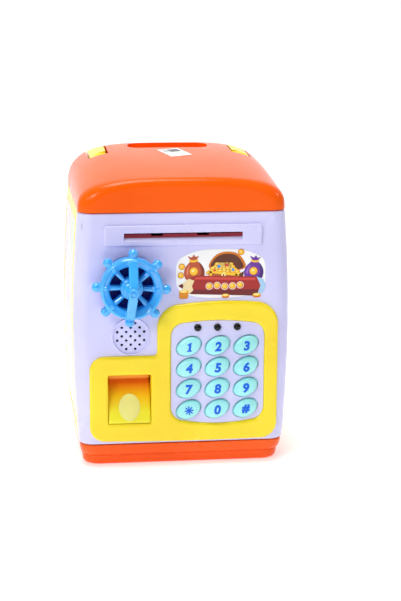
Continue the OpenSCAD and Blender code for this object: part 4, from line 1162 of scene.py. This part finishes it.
def bag_art(colour):
    """Layers of a tied money bag with a coin on it."""
    whole = smooth_loop([(-4.4, -0.4), (-5.7, 2.5), (-5.0, 6.0), (-2.6, 8.9), (-1.5, 10.0), (-3.0, 12.6),
                         (-0.8, 11.9), (0.4, 13.2), (1.4, 11.9), (3.2, 12.4), (1.7, 10.0), (2.8, 8.9),
                         (5.1, 6.0), (5.7, 2.5), (4.4, -0.4), (0, -1.0)], 4)
    dark = smooth_loop([(0.6, -0.9), (4.4, -0.4), (5.7, 2.5), (5.1, 6.0), (2.8, 8.9), (3.6, 5.2),
                        (3.4, 2.0)], 4)
    gleam = smooth_loop([(-4.4, 2.4), (-3.9, 5.4), (-2.2, 7.8), (-3.0, 5.2), (-3.4, 2.6)], 4)
    tie = smooth_loop([(-2.2, 9.5), (0, 9.0), (2.3, 9.5), (2.3, 10.5), (0, 10.1), (-2.2, 10.5)], 4)
    coin = coin_layers([(0, 0)], (-0.2, 3.9, 2.5), (-0.3, 4.0, 2.1), (-0.6, 4.4, 1.0, 0.7, 20))
    return [(colour, [whole]), (colour + "_dark", [dark]), (colour + "_light", [gleam]),
            ("gold", [tie])] + coin


def coin_pile(x, z, count, r, rng):
    """Layers of a stack of coins, seen a little from above."""
    layers = []
    for i in range(count):
        cx, cz = x + rng.uniform(-0.35, 0.35), z + 1.25 * i
        side = [(cx - r, cz), (cx - r, cz - 1.0)]
        side += [(cx + r * math.cos(a), cz - 1.0 + 0.38 * r * math.sin(a))
                 for a in [math.pi + math.pi * k / 12 for k in range(13)]]
        side += [(cx + r, cz)]
        layers.append(("gold_dark", [side]))
        layers.append(("gold", [disc(cx, cz, r, r * 0.38)]))
    layers.append(("gold_pale", [disc(cx - 0.2, cz + 0.1, r * 0.7, r * 0.22)]))
    return layers


def log_art():
    """Layers of a long red beam with a pale tip and a blue end, bare where the real print has words."""
    beam = [(3.5, 2.4), (42, 0.6), (46.4, 2.6), (47.2, 7.4), (43.6, 12.2), (8, 13.4), (3.4, 11.6), (1.6, 7)]
    shine = [(6, 11.2), (42.5, 10.0), (43.2, 11.4), (8, 12.7)]
    low = [(3.5, 2.4), (42, 0.6), (46.2, 2.6), (46.6, 4.4), (3.0, 5.0)]
    tip = [(3.4, 11.6), (-2.6, 7.4), (3.5, 2.4), (6.0, 4.6), (5.2, 7.2), (6.6, 10.4)]
    point = [(-0.6, 8.8), (-3.0, 7.4), (-0.4, 5.7), (0.2, 7.4)]
    end = [(43.6, 12.2), (47.6, 10.6), (49.2, 6.6), (47.4, 2.2), (44.2, 1.4), (46.0, 6.8)]
    coins = [(15.5 + 4.6 * i, 6.9 + 0.4 * math.sin(2 * i)) for i in range(5)]
    return [("red", [beam]), ("red_dark", [low]), ("red_light", [shine]), ("cream", [tip]),
            ("red_dark", [point]), ("pale_blue", [end]),
            ("white_ring", [disc(x, z, 2.15) for x, z in coins])] + coin_layers(
                coins, (0, 0, 1.85), (-0.1, 0.1, 1.5), (-0.4, 0.5, 0.55, 0.35, 30, 14))


def placed(layers, x, z, turn=0, size=1.0):
    """Layers of artwork in their place."""
    return [(name, [moved(o, x, z, turn, size) for o in shapes]) for name, shapes in layers]


LABEL_SIZE = (14.0, 20.5)
STICKER_INKS = {"gold": (255, 200, 44), "gold_dark": (214, 118, 18), "gold_pale": (255, 238, 150),
                "brown": (176, 92, 40), "brown_dark": (96, 44, 22), "gem_blue": (60, 150, 230),
                "gem_red": (226, 52, 60), "red": (168, 34, 30), "red_dark": (112, 20, 24),
                "red_light": (214, 70, 58), "cream": (246, 222, 170), "pale_blue": (168, 208, 244),
                "white_ring": (250, 250, 250),
                "rust": (190, 84, 50), "rust_dark": (140, 52, 34), "rust_light": (226, 130, 90),
                "violet": (108, 52, 160), "violet_dark": (70, 30, 116), "violet_light": (156, 104, 206)}


def build_sticker():
    """Die-cut print on the door: a chest of coins, two money bags and a beam, all generic."""
    low, high = span("front_sticker")
    base = slab("sticker", sticker_outline(), (low.y + 0.05, high.y + 0.02))
    finish_piece(base, "front_sticker", LABEL, "door", "printed_film", "front_sticker")
    rng = random.Random(5)
    art = placed(bag_art("rust"), 6.8, 114.6, 4, 1.08)
    art += placed(bag_art("violet"), 41.6, 114.4, -5, 1.02)
    art += placed(chest_art(), 24.0, 116.2, -3, 0.98)
    art += placed(log_art(), 0, 102.9)
    for x, z, count, r in ((0.2, 104.4, 3, 2.7), (43.5, 104.2, 1, 2.4), (25.0, 104.2, 1, 2.2)):
        art += coin_pile(x, z, count, r, rng)
    loose = [(-0.8, 121.8), (-1.4, 116.6), (34.2, 130.0)]
    art += coin_layers(loose, (0, 0, 1.9), (0, 0, 1.5), (-0.3, 0.4, 0.6, 0.4, 30, 14))
    groups = {}
    for n, (name, shapes) in enumerate(art):
        groups.setdefault(name, []).append(print_layer(shapes, low.y + 0.04 - 0.0025 * n))
    for name, layers in groups.items():
        mat = paper("print_" + name, STICKER_INKS[name])
        finish_piece(joined("art", layers), "sticker_" + name, mat, "door", "printed_film")


def label_patch(x, z, lift):
    """A patch of the label lying on the lid, between limits in the label's own axes."""
    turn = math.radians(20)
    rows = max(1, int(24 * (z[1] - z[0]) / LABEL_SIZE[1]))
    cols = max(1, int(24 * (x[1] - x[0]) / LABEL_SIZE[0]))
    verts, faces = [], []
    for j in range(rows + 1):
        for i in range(cols + 1):
            u = x[0] + (x[1] - x[0]) * i / cols
            v = z[0] + (z[1] - z[0]) * j / rows
            px = 1.7 + u * math.cos(turn) - v * math.sin(turn)
            py = 3.0 + u * math.sin(turn) + v * math.cos(turn)
            verts.append((px, py, lid_top(px, py) + lift))
            if i < cols and j < rows:
                a = j * (cols + 1) + i
                faces.append([a, a + 1, a + cols + 2, a + cols + 1])
    return new_object("patch", verts, faces)


def build_label():
    """White paper label stuck on the lid's top, with plain printed bars."""
    half_w, half_h = LABEL_SIZE[0] / 2, LABEL_SIZE[1] / 2
    sheet = label_patch((-half_w, half_w), (-half_h, half_h), 0.12)
    thick = sheet.modifiers.new("thick", "SOLIDIFY")
    thick.thickness = 0.1 * MM
    thick.offset = -1
    finish_piece(sheet, "paper_label", LABEL, "bank", "paper_label", "lid_label")
    rng = random.Random(3)
    bars = []
    x = -5.4
    while x < 5.0:
        w = rng.choice((0.25, 0.4, 0.6))
        bars.append(label_patch((x, x + w), (1.0, 8.0), 0.145))
        x += w + rng.choice((0.3, 0.45, 0.6))
    finish_piece(joined("bars", bars), "label_bars", BLACK, "bank", "paper_label")
    rules = ((8.8, 1.0), (-1.4, 4.6), (-3.0, 3.0))
    lines = [label_patch((-5.4, end), (v, v + 0.3), 0.135) for v, end in rules]
    lines.append(label_patch((-1.5, 5.6), (0.8, 8.2), 0.13))
    grey = paper("print_grey", (96, 96, 104))
    finish_piece(joined("rules", lines), "label_rules", grey, "bank", "paper_label")


def lid_top(x, y):
    """Height of the lid's surface over a point."""
    half, high, power = lid_section(y)
    c = (abs(x) / half) ** (power / 2)
    return LID_Z + high * max(0.0, 1 - c * c) ** (1 / 3)


# ---------------------------------------------------------------- camera, light and floor
def build_camera():
    """The camera, at the photograph's viewing angle."""
    yaw, pitch, roll = math.radians(-7.6), math.radians(13.11), math.radians(0.4)
    back = Vector((math.sin(yaw) * math.cos(pitch), -math.cos(yaw) * math.cos(pitch), math.sin(pitch)))
    right = Vector((math.cos(yaw), math.sin(yaw), 0))
    up = back.cross(right)
    side = right * math.cos(roll) + up * math.sin(roll)
    top = up * math.cos(roll) - right * math.sin(roll)
    data = bpy.data.cameras.new("camera")
    data.lens, data.sensor_width, data.clip_start = 100.31, 36, 0.01
    camera = linked("camera", data)
    place = Vector((18.09, 0, 87.59)) * MM + back * 1.04737
    camera.matrix_world = Matrix.Translation(place) @ Matrix((side, top, back)).transposed().to_4x4()
    bpy.context.scene.camera = camera


def softbox(name, at, size, power):
    """A rectangular soft light, aimed at the middle of the bank; sizes in metres, places in millimetres."""
    data = bpy.data.lights.new(name, "AREA")
    data.shape = "RECTANGLE"
    data.size, data.size_y = size
    data.energy = power
    light = linked(name, data)
    light.location = Vector(at) * MM
    aim = Vector((0, 0, 90)) * MM - light.location
    light.rotation_euler = aim.to_track_quat("-Z", "Y").to_euler()


def build_studio():
    """Pale seamless floor, a bright sky and large soft lights."""
    scene = bpy.context.scene
    scene.view_settings.view_transform = "Standard"
    scene.world = world = bpy.data.worlds.new("studio")
    world.use_nodes = True
    wire(world.node_tree.nodes["Background"], {"Color": (1, 1, 1, 1), "Strength": 0.19})
    softbox("left_light", (-950, -500, 620), (0.1, 0.12), 0.7)
    softbox("right_light", (980, -160, 600), (0.12, 0.12), 1.2)
    softbox("front_light", (-700, -900, 820), (0.4, 0.3), 5.6)
    softbox("top_light", (-120, -40, 1250), (0.7, 0.5), 11)
    sweep = [(-1500, 0)] + [(y, 0) for y in range(-1200, 901, 300)]
    sweep += [(900 + 600 * math.sin(a), 600 - 600 * math.cos(a))
              for a in [math.pi / 2 * i / 16 for i in range(1, 17)]]
    sweep += [(1500, 2600)]
    verts = [(x, y, z) for x in (-3000, 3000) for y, z in sweep]
    n = len(sweep)
    faces = [[i, i + n, i + n + 1, i + 1] for i in range(n - 1)]
    floor = shade_round(new_object("floor", verts, faces))
    mat, tree, shader = node_material("pale_floor")
    tint = bands(tree, object_noise(tree, 6, 3), [(0.3, (0.9, 0.9, 0.9)), (0.7, (0.93, 0.93, 0.93))])
    wire(shader, {"Base Color": tint, "Roughness": 0.6,
                  "Emission Color": (1, 1, 1, 1), "Emission Strength": 0.4})
    floor.data.materials.append(mat)


build_camera()
build_studio()
build_lid()
build_dish_screws()
build_handle()
build_base()
build_casing()
build_panels()
build_door()
build_bezel()
build_trim()
build_plate()
build_keys()
build_wheel()
build_backplate()
build_ramp()
build_lamps()
build_sticker()
build_label()
